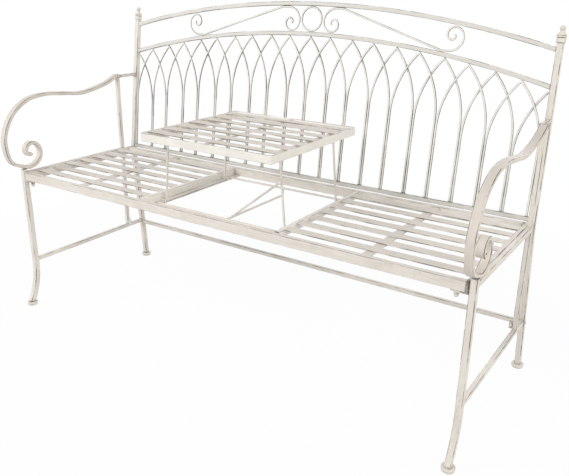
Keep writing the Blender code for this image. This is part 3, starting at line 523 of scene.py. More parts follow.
def bolt_head(shape, point, direction, wide, worn=0.3):
    """Adds a hexagon bolt head with a washer under it."""
    r, place = wide / 2, facing(point, direction)
    washer = [(0, 0.26), (1.22, 0.24), (1.28, 0.12), (1.28, 0), (0, 0)]
    head = [(0, 0.98), (0.72, 0.98), (0.97, 0.84), (1, 0.74), (1, 0.2), (0, 0.2)]
    lathe(shape, scaled(washer, r, r), place, 20, [(0, r, 1.5 * worn)])
    lathe(shape, scaled(head, r, r), place, 6, [(0, r, worn)])


# Paint


def new_group(name, inputs, outputs):
    """A shader node group of float sockets; returns it with its input and output nodes."""
    group = bpy.data.node_groups.new(name, "ShaderNodeTree")
    for label, default in inputs.items():
        socket = group.interface.new_socket(label, in_out="INPUT", socket_type="NodeSocketFloat")
        socket.default_value = default
    for label in outputs:
        group.interface.new_socket(label, in_out="OUTPUT", socket_type="NodeSocketFloat")
    return group, group.nodes.new("NodeGroupInput"), group.nodes.new("NodeGroupOutput")


def node(tree, kind, values=None, **settings):
    """Adds a node."""
    made = tree.nodes.new(kind)
    for key, value in settings.items():
        setattr(made, key, value)
    feed(tree, made, values or {})
    return made


def feed(tree, made, values):
    """Gives a node's inputs their values, each a fixed one or a socket."""
    for key, value in values.items():
        if isinstance(value, bpy.types.NodeSocket):
            tree.links.new(value, made.inputs[key])
        else:
            made.inputs[key].default_value = value


def math_node(tree, operation, *values, clamp=False):
    return node(tree, "ShaderNodeMath", dict(enumerate(values)), operation=operation, use_clamp=clamp).outputs[0]


def times(tree, first, *others):
    """The product of two or more values."""
    return math_node(tree, "MULTIPLY", first, times(tree, *others) if len(others) > 1 else others[0])


def plus(tree, first, second, clamp=False):
    return math_node(tree, "ADD", first, second, clamp=clamp)


def spread(tree, value, low, high):
    """Stretches a value between two marks to 0 and 1, softly."""
    values = {"Value": value, "From Min": low, "From Max": high}
    return node(tree, "ShaderNodeMapRange", values, interpolation_type="SMOOTHSTEP").outputs["Result"]


def noise(tree, place, scale, detail, rough=0.6):
    values = {"Vector": place, "Scale": scale, "Detail": detail, "Roughness": rough}
    return node(tree, "ShaderNodeTexNoise", values).outputs["Fac"]


def mask_group(name, inputs):
    """A group of float inputs with one mask; returns it with its inputs, its mask and the object's own places."""
    group, source, sink = new_group(name, inputs, ["Mask"])
    return group, source.outputs, sink.inputs["Mask"], node(group, "ShaderNodeTexCoord").outputs


def edge_rub_and_shade_group():
    """Mask of paint worn off the long edges, broken up along them, which also lays painted shade along the slats'
    narrow sides.
    """
    group, given, mask, place = mask_group("Edge rub", {"Amount": 0.7, "Scale": 40.0})
    wear = node(group, "ShaderNodeAttribute", attribute_name="wear").outputs["Fac"]
    gaps = spread(group, noise(group, place["Object"], given["Scale"], 4), 0.38, 0.60)
    group.links.new(times(group, spread(group, wear, 0.15, 0.8), gaps, given["Amount"]), mask)
    return group


def joint_grime_and_shade_group():
    """Mask of grime and painted shade in the joints: darker where faces stand close together and occlude each
    other.
    """
    group, given, mask, place = mask_group("Joint grime", {"Reach": 0.006, "Amount": 0.6})
    # Painted shade: occlusion between close faces darkens the paint here, as shade in the joints would, along with
    # grime
    close = node(group, "ShaderNodeAmbientOcclusion", {"Distance": given["Reach"]}, samples=6)
    broken = spread(group, noise(group, place["Object"], 70.0, 3), 0.25, 0.6)
    group.links.new(times(group, spread(group, close.outputs["AO"], 0.72, 0.25), broken, given["Amount"]), mask)
    return group


def painted_side_shade_group():
    """Mask of painted shade on the sides of a rod, where its faces turn away from the front and the back."""
    group, given, mask, place = mask_group("Bare sides", {"Amount": 0.5})
    # Painted shade: faces that turn square to the front and the back go near black, a little broken up
    turn = node(group, "ShaderNodeVectorMath", {0: place["Normal"], 1: BACK}, operation="DOT_PRODUCT")
    side = spread(group, math_node(group, "ABSOLUTE", turn.outputs["Value"]), 0.86, 0.62)
    broken = spread(group, noise(group, place["Object"], 11.0, 3), 0.38, 0.62)
    broken = plus(group, times(group, broken, 0.45), 0.55)
    group.links.new(times(group, side, broken, given["Amount"]), mask)
    return group


def brushed_coat_group():
    """Tone and thickness of paint that was brushed on by hand and rubbed back."""
    group, source, sink = new_group("Brushed coat", {"Scale": 8.0, "Patches": 0.5}, ["Tone", "Patch", "Thickness"])
    place = node(group, "ShaderNodeTexCoord").outputs["Object"]
    cloud = spread(group, noise(group, place, source.outputs["Scale"], 5), 0.35, 0.7)
    brush = node(group, "ShaderNodeAttribute", attribute_name="brush").outputs["Vector"]
    stretch = node(group, "ShaderNodeVectorMath", {0: brush, 1: (1.0, 1.0, 0.07)}, operation="MULTIPLY")
    streak = spread(group, noise(group, stretch.outputs["Vector"], 330.0, 2), 0.36, 0.66)
    spots = spread(group, noise(group, place, 26.0, 6, 0.68), 0.60, 0.74)
    fine = noise(group, place, 160.0, 3)
    feed(group, sink, {
        "Tone": plus(group, times(group, cloud, 0.55), times(group, streak, 0.45)),
        "Patch": times(group, spots, source.outputs["Patches"]),
        "Thickness": plus(group, times(group, fine, 0.5), times(group, streak, 0.5)),
    })
    return group


def blend_colour(tree, mask, first, second):
    """Mixes two colours, each a fixed one or a socket, by a mask."""
    first, second = [value if isinstance(value, bpy.types.NodeSocket) else (*value, 1) for value in (first, second)]
    # Inputs 6 and 7 and output 2 are the node's colours
    values = {0: mask, 6: first, 7: second}
    return node(tree, "ShaderNodeMix", values, data_type="RGBA", clamp_factor=True).outputs[2]


def paint_material(groups, name, base, rub_and_shade, scale, patches, warmth, sides, close, metal):
    """Cream paint: warm where it is thin, dark where its edges are worn, dark and dull in the joints with grime and
    painted shade, and darkened with painted shade on the rods' sides and along the slats' narrow sides.
    """
    look = bpy.context.scene.bench_paint
    material = bpy.data.materials.new(name)
    material.use_nodes = True
    tree = material.node_tree
    values = (
        {"Scale": scale, "Patches": patches}, {"Amount": rub_and_shade, "Scale": 15.0}, {"Reach": close, "Amount": 0.8},
        {"Amount": sides},
    )
    coat, edge, grime_and_shade, shade = [
        node(tree, "ShaderNodeGroup", given, node_tree=group).outputs for group, given in zip(groups, values)
    ]
    rubbed_and_shaded, grimy_and_shaded, thick = edge["Mask"], grime_and_shade["Mask"], coat["Thickness"]
    paint = blend_colour(tree, times(tree, coat["Tone"], warmth), base, look.warm)
    # Layers, each over the last: warm patches, painted shade on the rods' sides, worn edges with painted shade on
    # the slats' sides, grime with painted shade in the joints
    layers = ((coat["Patch"], look.warm), (shade["Mask"], look.side_shade_grey), (rubbed_and_shaded, look.rub_and_shade), (grimy_and_shaded, look.grime_and_shade))
    for mask, tint in layers:
        paint = blend_colour(tree, mask, paint, tint)
    relief = math_node(tree, "SUBTRACT", thick, times(tree, rubbed_and_shaded, 0.8))
    dull = plus(tree, times(tree, thick, 0.22), look.rough - 0.1)
    feed(tree, tree.nodes["Principled BSDF"], {
        "Base Color": paint,
        "Roughness": plus(tree, dull, times(tree, grimy_and_shaded, 0.3), True),
        "Metallic": times(tree, rubbed_and_shaded, metal),
        "Normal": node(tree, "ShaderNodeBump", {"Strength": 0.16, "Distance": 0.0006, "Height": relief}).outputs[0],
    })


class BENCH_OT_paint(Operator):
    """Mixes the paints that all pieces use"""

    bl_idname = "bench.paint"
    bl_label = "Paint"

    def execute(self, context):
        groups = brushed_coat_group(), edge_rub_and_shade_group(), joint_grime_and_shade_group(), painted_side_shade_group()
        look = context.scene.bench_paint
        # name, colour, rubbed edges with painted shade on the slats' narrow sides, size and amount of patches,
        # warmth, painted shade on the rods' sides, reach of grime and painted joint shade, bare metal
        paints = (
            ("bar_paint", look.cream, 1.0, 7.0, 0.5, 0.75, 0.0, 0.007, 0.2),
            ("rail_paint", look.cool, 1.0, 7.0, 0.5, 0.5, 0.0, 0.007, 0.2),
            # rim_paint is pale; on the gap rails it is painted light against the table's shadow
            ("rim_paint", look.pale, 1.0, 9.0, 0.5, 0.4, 0.0, 0.007, 0.2),
            # The arms' darker cream is painted shade
            ("arm_paint", look.shaded_arm_cream, 1.0, 9.0, 0.7, 0.85, 0.0, 0.007, 0.2),
            ("rod_paint", look.pale, 0.5, 11.0, 0.3, 0.2, 1.0, 0.001, 0.0),
            ("table_rod_paint", look.cream, 0.5, 11.0, 0.5, 0.4, 0.2, 0.001, 0.0),
            ("slat_paint", look.shaded, 1.0, 9.0, 0.6, 0.6, 0.0, 0.006, 0.1),
            ("cast_paint", look.cream, 1.0, 22.0, 0.7, 0.6, 0.0, 0.005, 0.3),
        )
        for row in paints:
            paint_material(groups, *row)
        return {"FINISHED"}


# Pieces


def add_leg(p, name, path, side):
    """Adds a leg of square tube, cut level, with painted shade at its foot, where it stands in its cup."""
    shape = new_shape()
    # The last two points are dark: painted shade where the leg meets its cup
    sweep(shape, path, bar_section(p.s.tube, p.s.tube, p.s.edge + TUBE_EDGE), side, cuts=(None, UP), tips=(0, 1))
    add_piece(shape, name, "tube", "bar_paint")


def add_casting(name, form, profile, place, worn=()):
    shape = new_shape()
    lathe(shape, profile, place, TURNED, worn)
    add_piece(shape, name, form, "cast_paint", sharp=ROUND)


def back_rod(p, points, radius, out=0.0, **more):
    """A shape with a round rod along points on the leaning back."""
    shape = new_shape()
    sweep(shape, [on_back(p, u, v, out) for u, v in points], rod_section(radius), back_normal(p), **more)
    return shape


def lay_slats(shape, p, top, ends):
    """Adds a row of slats under a top, from end to end."""
    s = p.s
    section = slat_section(s.slat_thick - s.seat_gap, s.slat_wide, SLAT_EDGE)
    for i in range(SLATS):
        path = [(x, slat_y(p, i), top - (s.slat_thick + s.seat_gap) / 2) for x in ends]
        sweep(shape, path, section, BACK)


class BENCH_OT_posts(Operator):
    """Builds the rear posts, bent back below the seat"""

    bl_idname = "bench.posts"
    bl_label = "Rear posts"

    def execute(self, context):
        p = plan()
        radius, kick = BEND_RADIUS, math.atan(p.leg_slope)
        down = Vector((-math.sin(p.lean), -math.cos(p.lean)))
        corner = Vector((post_y(p, p.bend_z), p.bend_z))
        reach = radius * math.tan((p.lean + kick) / 2)
        middle = corner - down * reach + Vector((math.cos(p.lean), -math.sin(p.lean))) * radius
        bend = arc(middle, radius, math.pi - p.lean, math.pi + kick, 14)
        line = [Vector((post_y(p, p.post_top), p.post_top))] + bend
        line += [Vector((rear_leg_y(p, z), z)) for z in leg_ends(p)]
        top, sin, cos = p.post_top, math.sin(SPLAY), math.cos(SPLAY)
        for side, sign in SIDES:
            path = [(sign * (p.post_x + (top - z) * sin), y, top - (top - z) * cos) for y, z in line]
            add_leg(p, f"rear_post_{side}", path, (cos, 0, sign * sin))
        return {"FINISHED"}


class BENCH_OT_finials(Operator):
    """Turns the finials: a round block, a flange, a bell and a knob"""

    bl_idname = "bench.finials"
    bl_label = "Finials"

    def execute(self, context):
        p = plan()
        r, h = p.s.finial_radius, p.s.finial_tall
        knots = [
            (0.0, 1.0), (0.22, 0.99), (0.44, 0.955), (0.60, 0.905), (0.65, 0.86), (0.60, 0.81), (0.47, 0.765),
            (0.42, 0.735), (0.45, 0.695), (0.56, 0.62), (0.72, 0.555), (0.88, 0.495), (0.965, 0.44), (0.985, 0.41),
            (1.0, 0.395), (1.0, 0.36), (0.99, 0.32), (0.87, 0.303), (0.82, 0.29), (0.86, 0.272), (0.94, 0.258),
            (0.95, 0.22), (0.95, 0.06), (0.94, 0.02), (0.90, 0.0),
        ]
        profile = [(0, h)] + scaled(smooth(knots, 2)[1:], r, h) + [(0, 0)]
        worn = [(v * h - 0.0008, v * h + 0.0008, 1) for v in (0.0, 0.29, 0.41, 0.735, 0.955)]
        for side, sign in SIDES:
            turn = Euler((0, -sign * SPLAY, 0)).to_matrix() @ Euler((-p.lean, 0, 0)).to_matrix()
            seat = Vector((sign * p.post_x, post_y(p, p.post_top), p.post_top)) + turn @ (p.s.seat_gap * UP)
            add_casting(f"finial_{side}", "cast", profile, Matrix.Translation(seat) @ turn.to_4x4(), worn)
        return {"FINISHED"}


class BENCH_OT_feet(Operator):
    """Turns the cups that the legs stand in"""

    bl_idname = "bench.feet"
    bl_label = "Foot caps"

    def execute(self, context):
        p = plan()
        r, h = 1.1 * p.s.foot_radius, p.s.foot_tall
        knots = [
            (0.70, 0.66), (0.80, 0.665), (0.88, 0.675), (0.94, 0.66), (0.98, 0.61), (1.0, 0.53), (0.99, 0.42),
            (0.965, 0.28), (0.94, 0.15), (0.91, 0.05), (0.87, 0.0),
        ]
        profile = [(0, CUP * h)] + [(u * r, max(0, v) * h) for u, v in smooth(knots, 2)] + [(0, 0)]
        for name in [f"{end}_foot_{side}" for end in ("front", "rear") for side, _ in SIDES]:
            spot = centre(name)
            add_casting(name, "cap", profile, Matrix.Translation((spot.x, spot.y, 0)))
        return {"FINISHED"}


class BENCH_OT_back_rails(Operator):
    """Bends the two arched rails and sets the straight one below them"""

    bl_idname = "bench.back_rails"
    bl_label = "Back rails"

    def execute(self, context):
        p = plan()
        section = bar_section(p.s.bar, p.s.bar, p.s.edge)
        lines = (
            ("top_rail", top_rail_line(p), p.post_top - p.s.top_rail_drop, 72),
            ("arch_rail", arch_rail_line(p), arch_end(p), 72),
            ("back_bottom_rail", lambda x: up_back(p, p.seat + RAIL_LIFT), p.seat + RAIL_LIFT, 1),
        )
        for name, line, end_z, steps in lines:
            end = post_inner(p, end_z + p.s.bar)
            path = [on_back(p, x, line(x)) for x in (-end + 2 * end * i / steps for i in range(steps + 1))]
            shape = new_shape()
            sweep(shape, path, section, back_normal(p), cuts=(RIGHT, RIGHT))
            add_piece(shape, name, "bar", "rail_paint")
        return {"FINISHED"}


class BENCH_OT_arches(Operator):
    """Bends the interlaced pointed arches, in two layers, and welds their feet to the bottom rail"""

    bl_idname = "bench.arches"
    bl_label = "Arches"

    def execute(self, context):
        p = plan()
        rod, gap, bar = p.s.rod, p.s.seat_gap, p.s.bar
        pitch, line = 2 * p.back_half / (ARCHES - 1), arch_rail_line(p)
        layer, foot = rod + gap / 2, up_back(p, p.seat + RAIL_LIFT) + bar / 2 + gap
        run = pitch - layer
        radius = (run**2 + p.s.arch_rise**2) / (2 * run)
        turn, up = math.asin(p.s.arch_rise / radius), on_back(p, 0, 1) - on_back(p, 0, 0)
        for k in range(ARCHES):
            x = -p.back_half + k * pitch
            under = beside(line, x, bar / 2 + rod + gap)
            spring = line(x) - under - p.s.arch_rise
            left = [Vector((x - run, foot))] + arc((x - run + radius, spring), radius, math.pi, math.pi - turn, 14)
            right = [Vector((2 * x - q.x, q.y)) for q in left[::-1]]
            points = left + right[1:]
            if k == 0:
                points = cut_short(right, x + rod)
            if k == ARCHES - 1:
                points = cut_short(left[::-1], x - rod)
            out = layer if k % 2 else -layer
            shape = back_rod(p, points, rod, out)
            for q in points[-1:] if k in (0, ARCHES - 1) else (points[0], points[-1]):
                bead(shape, on_back(p, q.x, q.y, out), up, rod)
            add_piece(shape, f"arch_{k:02d}", "rod", "rod_paint", sharp=ROUND)
        return {"FINISHED"}


def cut_short(points, x):
    """A half arch, from its apex down, cut off at x where it meets its post."""
    rest = [q for q in points if (q.x - x) * (points[-1].x - x) > 0]
    a, b = points[len(points) - len(rest) - 1], rest[0]
    return [a + (b - a) * ((x - a.x) / (b.x - a.x))] + rest


class BENCH_OT_scrolls(Operator):
    """Bends the ring and the two S scrolls between the arched rails"""

    bl_idname = "bench.scrolls"
    bl_label = "Ring and scrolls"

    def execute(self, context):
        p = plan()
        rod, half = p.s.scroll_rod, p.s.bar / 2
        touch = rod + p.s.seat_gap
        top, low = top_rail_line(p), arch_rail_line(p)
        taken, start = p.s.bar + 2 * rod, math.radians(53)
        first = self.curl(p.s.scroll_inner, math.pi - start, (p.s.band_middle - taken) * p.s.inner_share)
        last = self.curl(p.s.scroll_outer, -start, (p.s.band_end - taken) * p.s.outer_share)
        below = min(top(q.x) - beside(top, q.x, half + touch) - q.y for q in first)
        above = max(low(q.x) + beside(low, q.x, half + touch) - q.y for q in last)
        first = [q + Vector((0, below)) for q in first]
        last = [q + Vector((0, above)) for q in last]
        line = smooth(first[::-1], 3) + smooth(last, 3)
        taper = [min(1, 0.45 + 0.19 * min(i, len(line) - 1 - i)) for i in range(len(line))]
        for side, sign in SIDES:
            shape = back_rod(p, [(-sign * q.x, q.y) for q in line], rod, grow=taper)
            add_piece(shape, f"scroll_{side}", "rod", "rod_paint", sharp=ROUND)
        floor, roof = low(0) + half, top(0) - half
        ring = arc((0, (floor + roof) / 2), (roof - floor) / 2 - touch, 0, math.tau, 64)[:-1]
        add_piece(back_rod(p, ring, rod, closed=True), "back_ring", "rod", "rod_paint", sharp=ROUND)
        return {"FINISHED"}

    def curl(self, x, start, radius):
        turn, eye, steps, closing = math.radians(-520), 0.0045, 28, 0.55
        return spiral((-x, 0), start, turn, radius, eye, steps, closing)


def arm_line(p):
    """The middle line of an arm's broad strip, from behind its upright to the eye of its scroll, as (y, z)."""
    leg_y = leg_middle(p)
    upright, bow = p.upright_y, leg_y - ARM_BOW
    rear_z, dip_z, crest_z = p.arm_z, p.seat + ARM_DIP, p.seat + ARM_CREST
    eye = Vector((leg_y, p.seat)) + ARM_EYE
    run, rise = upright - bow, crest_z - eye.y
    knots = [
        (upright - p.s.bar, rear_z),
        (upright - 0.14 * run, dip_z + 0.43 * (rear_z - dip_z)),
        (upright - 0.34 * run, dip_z),
        (upright - 0.50 * run, dip_z + 0.50 * (crest_z - dip_z)),
        (upright - 0.66 * run, crest_z),
        (upright - 0.80 * run, crest_z - 0.055 * rise),
        (upright - 0.92 * run, crest_z - 0.27 * rise),
        (upright - 0.99 * run, crest_z - 0.59 * rise),
        (bow, crest_z - 0.88 * rise),
        (upright - 0.965 * run, crest_z - 1.15 * rise),
    ]
    start, turn, inner, steps, closing = math.radians(-112), math.radians(400), 0.0065, 26, 0.80
    knots += spiral(eye, start, turn, p.s.arm_scroll, inner, steps, closing)
    return [Vector((upright + 0.010, rear_z))] + smooth(knots, 6)


def leg_middle(p):
    """Middle of a front leg, front to back, above its bend."""
    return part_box("front_leg_right")[1].y - p.s.tube / 2


class BENCH_OT_arms(Operator):
    """Bends the arm strips, each from its link at the post to a scroll on its front leg"""

    bl_idname = "bench.arms"
    bl_label = "Arms"

    def execute(self, context):
        p = plan()
        s, z = p.s, p.arm_z
        section = bar_section(s.arm_thick, s.arm_wide, 0.0019, 4)
        line = arm_line(p)
        post_face = post_y(p, z) - s.tube / 2 / math.cos(p.lean) - s.arm_thick * math.tan(p.lean) - s.seat_gap
        link_x = post_inner(p, z) + s.tube - s.arm_link / 2
        link = bar_section(s.arm_thick - 0.001, s.arm_link, s.edge)
        for side, sign in SIDES:
            shape = new_shape()
            sweep(shape, [(sign * p.leg_x, *spot) for spot in line], section, RIGHT)
            sweep(shape, [(sign * link_x, y, z) for y in (p.upright_y + 0.008, post_face)], link, RIGHT)
            for y in (p.upright_y - 0.005, p.upright_y + 0.005):
                self.band(shape, p, Vector((sign * p.leg_x, y, z)))
            add_piece(shape, f"arm_{side}", "strip", "arm_paint")
        return {"FINISHED"}

    def band(self, shape, p, middle):
        """A strap round the arm, over its upright."""
        x, z = p.s.arm_wide / 2, p.s.arm_thick / 2
        loop = rounded([(-x, -z), (x, -z), (x, z), (-x, z)], 0.002, 3)
        path = [middle + Vector((u, 0, v)) for u, v in loop]
        sweep(shape, path, bar_section(0.0026, 0.0042, 0.0010), BACK, closed=True)


class BENCH_OT_front_legs(Operator):
    """Bends the front legs forward at their feet"""

    bl_idname = "bench.front_legs"
    bl_label = "Front legs"

    def execute(self, context):
        p = plan()
        leg_y, bend_z = leg_middle(p), LEG_BEND_Z
        leg_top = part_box("front_leg_right")[1].z
        run, drop = leg_y - centre("front_foot_right").y, bend_z - p.s.foot_tall - p.s.seat_gap
        radius = (run**2 + drop**2) / (2 * run)
        bend = arc((leg_y - radius, bend_z), radius, 0, -math.asin(drop / radius), 18)
        bend += [Vector((bend[-1].x - 0.001, z)) for z in leg_ends(p)]
        for side, sign in SIDES:
            path = [(sign * p.leg_x, leg_y, leg_top)] + [(sign * p.leg_x, y, z) for y, z in bend]
            add_leg(p, f"front_leg_{side}", path, RIGHT)
        return {"FINISHED"}


class BENCH_OT_side_bars(Operator):
    """Cuts the uprights under the arms, the side bars and the stretchers"""

    bl_idname = "bench.side_bars"
    bl_label = "Uprights and stretchers"

    def execute(self, context):
        s = plan().s
        for stem, axis in (("arm_upright", 2), ("side_stretcher", 1), ("side_bar", 1)):
            for side, _ in SIDES:
                self.cut(f"{stem}_{side}", axis, s.edge)
        self.cut("rear_stretcher", 0, s.edge)
        return {"FINISHED"}

    def cut(self, name, axis, edge):
        low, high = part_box(name)
        size, start, end = high - low, centre(name), centre(name)
        start[axis], end[axis] = low[axis], high[axis]
        side = RIGHT if axis else BACK
        run = Vector([float(i == axis) for i in range(3)])
        across = side.cross(run)
        section = bar_section(abs(size.dot(across)), abs(size.dot(side)), edge)
        shape = new_shape()
        sweep(shape, [start, end], section, side)
        add_piece(shape, name, "bar", "bar_paint")


class BENCH_OT_seat_rails(Operator):
    """Presses the seat's angle rails, and the rails with ledges and straps beside the table's gap"""

    bl_idname = "bench.seat_rails"
    bl_label = "Seat rails"

    def execute(self, context):
        p = plan()
        for name in ("seat_front_rail", "seat_rear_rail"):
            low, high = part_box(name)
            corners = self.corners(low.y, high.y, p)
            section = [(p.seat - z, y, worn) for y, z, worn in edged(corners, 0.0011)]
            shape = new_shape()
            spots = (low.x, low.x + 0.003, low.x + 0.006, high.x - 0.008, high.x - 0.005, high.x)
            sweep(shape, [(x, 0, p.seat) for x in spots], section, BACK, tips=(0.3, 1))
            add_piece(shape, name, "angle", "bar_paint")
        for side, sign in SIDES:
            self.gap_rail(p, side, sign)
        return {"FINISHED"}

    def corners(self, face, far, p):
        """Corners of an angle rail's section, as (y, z)."""
        wall, top, bottom = p.s.rail_wall, p.seat, p.rail_bottom
        return [
            (face, bottom), (face + wall, bottom), (face + wall, top - wall),
            (far, top - wall), (far, top), (face, top),
        ]

    def gap_rail(self, p, side, sign):
        s, gap, top, bottom = p.s, p.gap_half, p.seat, p.rail_bottom
        low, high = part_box(f"gap_rail_{side}")
        wall, edge, far = s.rail_wall, gap - LEDGE, gap + STRIP
        corners = [
            (edge, bottom), (gap + wall, bottom), (gap + wall, top - wall), (far, top - wall),
            (far, top), (gap, top), (gap, p.ledge_top), (edge, p.ledge_top),
        ]
        section = [(-sign * x, z, worn) for x, z, worn in edged(corners, 0.0008)]
        shape = new_shape()
        spots = (low.y, low.y + 0.004, low.y + 0.006, high.y)
        sweep(shape, [(0, y, 0) for y in spots], section, UP, tips=(1, 0))
        crown = arc((sign * p.pivot.x, p.pivot.z), s.rod + s.seat_gap + STRAP / 2, 0, math.pi, 14)
        foot = p.ledge_top - s.seat_gap
        line = [Vector((crown[0].x, foot))] + crown + [Vector((crown[-1].x, foot))]
        for end in (-1, 1):
            y = p.mid_y + end * (p.pivot_half - 0.005)
            sweep(shape, [(x, y, z) for x, z in line], bar_section(STRAP, 0.004, 0.0009), BACK)
        # The gap rails take the rim's paler paint: painted light that lifts them out of the table's shadow
        add_piece(shape, f"gap_rail_{side}", "ledge", "rim_paint")


class BENCH_OT_seat_slats(Operator):
    """Lays the slats of the side seats on their cross bars"""

    bl_idname = "bench.seat_slats"
    bl_label = "Seat slats"

    def execute(self, context):
        p = plan()
        s = p.s
        front, rear = p.gap_front + s.seat_gap, p.gap_rear - s.seat_gap
        slat_start = p.gap_half + STRIP + s.seat_gap
        side_inner = p.side_x - s.bar / 2 - s.seat_gap - STRIP
        cross = (slat_start + side_inner) / 2
        rail_front = max(front, leg_middle(p) + s.tube / 2 + s.seat_gap)
        for side, sign in SIDES:
            rail_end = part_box(f"seat_slats_{side}")[1].y
            shape = new_shape()
            rail_x = sign * (side_inner + STRIP / 2)
            middle_z = (p.rail_bottom + p.seat) / 2
            rail = bar_section(s.rail_tall, STRIP, s.edge)
            sweep(shape, [(rail_x, y, middle_z) for y in (rail_front, rail_end)], rail, RIGHT)
            lay_slats(shape, p, p.seat, (sign * slat_start, sign * (side_inner + 0.0005)))
            cross_z, cross_wide = p.seat - 1.5 * s.slat_thick + 0.0001, 0.025
            ends = [(sign * cross, y, cross_z) for y in (front, rear)]
            sweep(shape, ends, bar_section(s.slat_thick, cross_wide, 0.0009), RIGHT)
            add_piece(shape, f"seat_slats_{side}", "panel", "slat_paint")
        return {"FINISHED"}


class BENCH_OT_corner_bolts(Operator):
    """Fits the tab and the bolt under each front corner"""

    bl_idname = "bench.corner_bolts"
    bl_label = "Corner bolts"

    def execute(self, context):
        nut = [
            (0, 0.0146), (0.0028, 0.0142), (0.0046, 0.0128), (0.0055, 0.0104), (0.0056, 0.0050), (0.0048, 0.0044),
            (0.0048, 0.0034), (0.0068, 0.0032), (0.0068, 0), (0, 0),
        ]
        bolt_in = 0.028
        for side, sign in SIDES:
            low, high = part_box(f"corner_bolt_{side}")
            middle, z = centre(f"corner_bolt_{side}").y, high.z - TAB / 2
            shape = new_shape()
            plate = bar_section(TAB, high.y - low.y, 0.0008)
            sweep(shape, [(low.x, middle, z), (high.x, middle, z)], plate, BACK, tips=(0.7, 0.7))
            leg_face = high.x if sign > 0 else low.x
            foot = Vector((leg_face - sign * bolt_in, middle, high.z - TAB + 0.0004))
            lathe(shape, nut, facing(foot, -UP), 18, [(0, 1, 0.8)])
            add_piece(shape, f"corner_bolt_{side}", "tab", "cast_paint")
        return {"FINISHED"}


class BENCH_OT_table_top(Operator):
    """Makes the table: the rim on edge, the slats, the middle bar and the notched leg bars"""

    bl_idname = "bench.table_top"
    bl_label = "Table top"

    def execute(self, context):
        p = plan()
        s, t = p.s, p.t
        wall, corner = t.rim_wall, 0.004
        x, y = p.table_half - wall / 2, p.table_half_y - wall / 2
        line = rounded([(-x, -y), (x, -y), (x, y), (-x, y)], corner, 5)
        middle_z = (p.table_top + p.rim_bottom) / 2
        shape = new_shape()
        section = bar_section(wall, p.table_top - p.rim_bottom, 0.0010)
        sweep(shape, [(u, p.mid_y + v, middle_z) for u, v in line], section, UP, closed=True)
        add_piece(shape, "table_rim", "band", "rim_paint", "table")
        shape = new_shape()
        end_x, end_y = p.table_half - wall - s.seat_gap, p.table_half_y - wall - s.seat_gap
        lay_slats(shape, p, p.table_top, (-end_x, end_x))
        bar_z, bar = p.table_top - s.slat_thick - 0.0015, bar_section(0.0040, 0.010, 0.0010)
        sweep(shape, [(0, p.mid_y + v, bar_z) for v in (-end_y, end_y)], bar, RIGHT)
        for _, sign in SIDES:
            self.leg_bar(shape, p, sign)
        add_piece(shape, "table_slats", "panel", "slat_paint", "table")
        return {"FINISHED"}

    def leg_bar(self, shape, p, sign):
        inner = leg_bar_inner(p)
        half = p.tie_y - p.s.rod - 0.002
        low, high = p.rim_bottom + LEG_BAR_LIFT, p.table_top - p.s.slat_thick + 0.0004
        side, pitch = p.s.rod + p.t.notch_side, math.radians(40)
        faces, thick, roof = [], p.t.leg_bar, p.peg_z + p.s.rod + p.s.seat_gap
        for x, roof in ((inner, roof + thick * math.tan(pitch)), (inner + thick, roof)):
            outline = [(-half, high), (half, high), (half, low)]
            for end in (1, -1):
                notch = end * p.leg_offset
                outline += [(notch + side, low), (notch + side, roof), (notch - side, roof), (notch - side, low)]
            outline.append((-half, low))
            faces.append([shape.verts.new((sign * x, p.mid_y + v, z)) for v, z in outline])
        skin(shape, faces)


def leg_bar_inner(p):
    """Inner face of a leg bar, clear of the leaning leg beside it."""
    below = p.peg_z - (p.rim_bottom + LEG_BAR_LIFT)
    return p.leg_tip_x + below * math.tan(p.leg_lean) + p.s.rod / math.cos(p.leg_lean) + 2 * p.s.seat_gap


class BENCH_OT_table_legs(Operator):
    """Bends the two leg frames: a pivot rod and two legs with pegs; the right one carries the stay's pin"""

    bl_idname = "bench.table_legs"
    bl_label = "Table legs"

    def execute(self, context):
        p = plan()
        line = self.leg_line(p)
        rod = p.s.rod
        for side, sign in SIDES:
            shape = new_shape()
            x = sign * p.pivot.x
            ends = [(x, p.mid_y + v * p.pivot_half, p.pivot.z) for v in (-1, -0.993, 0.993, 1)]
            sweep(shape, ends, rod_section(rod), RIGHT, grow=BEVELLED)
            for end in (-1, 1):
                y = p.mid_y + end * p.leg_offset
                sweep(shape, [(x + sign * u, y, p.pivot.z + v) for u, v in line], rod_section(rod), BACK)
            if sign > 0:
                self.stay_pin(shape, p)
            add_piece(shape, f"table_legs_{side}", "rods", "table_rod_paint", f"{side}_legs", ROUND)
        return {"FINISHED"}

    def leg_line(self, p):
        tip = Vector((p.leg_tip_x - p.pivot.x, p.peg_z - p.pivot.z))
        up = tip.normalized()
        turn = math.pi / 2 + p.leg_lean
        start = tip - up * (p.t.peg_bend * math.tan(turn / 2))
        across = Vector((up.y, -up.x))
        first = math.atan2(-across.y, -across.x)
        bend = arc(start + across * p.t.peg_bend, p.t.peg_bend, first, first - turn, 10)
        peg = Vector((leg_bar_inner(p) + p.t.leg_bar - p.s.seat_gap - p.pivot.x, tip.y))
        return [Vector((0, 0))] + bend + [peg]

    def stay_pin(self, shape, p):
        t = p.t
        r, big, thick = t.stay_pin, t.stay_eye - t.stay_play, p.s.rod
        reach = p.mid_y - p.leg_offset - (p.stay_y - t.stay_half - t.stay_play)
        head = [(0, 1), (0.55, 0.96), (0.9, 0.7), (1, 0.3), (1, 0)]
        profile = [(u * big, reach + v * thick) for u, v in head] + [(r, reach), (r, 0), (0, 0)]
        lathe(shape, profile, facing(Vector((p.eye.x, p.mid_y - p.leg_offset, p.eye.z)), -BACK), 18)


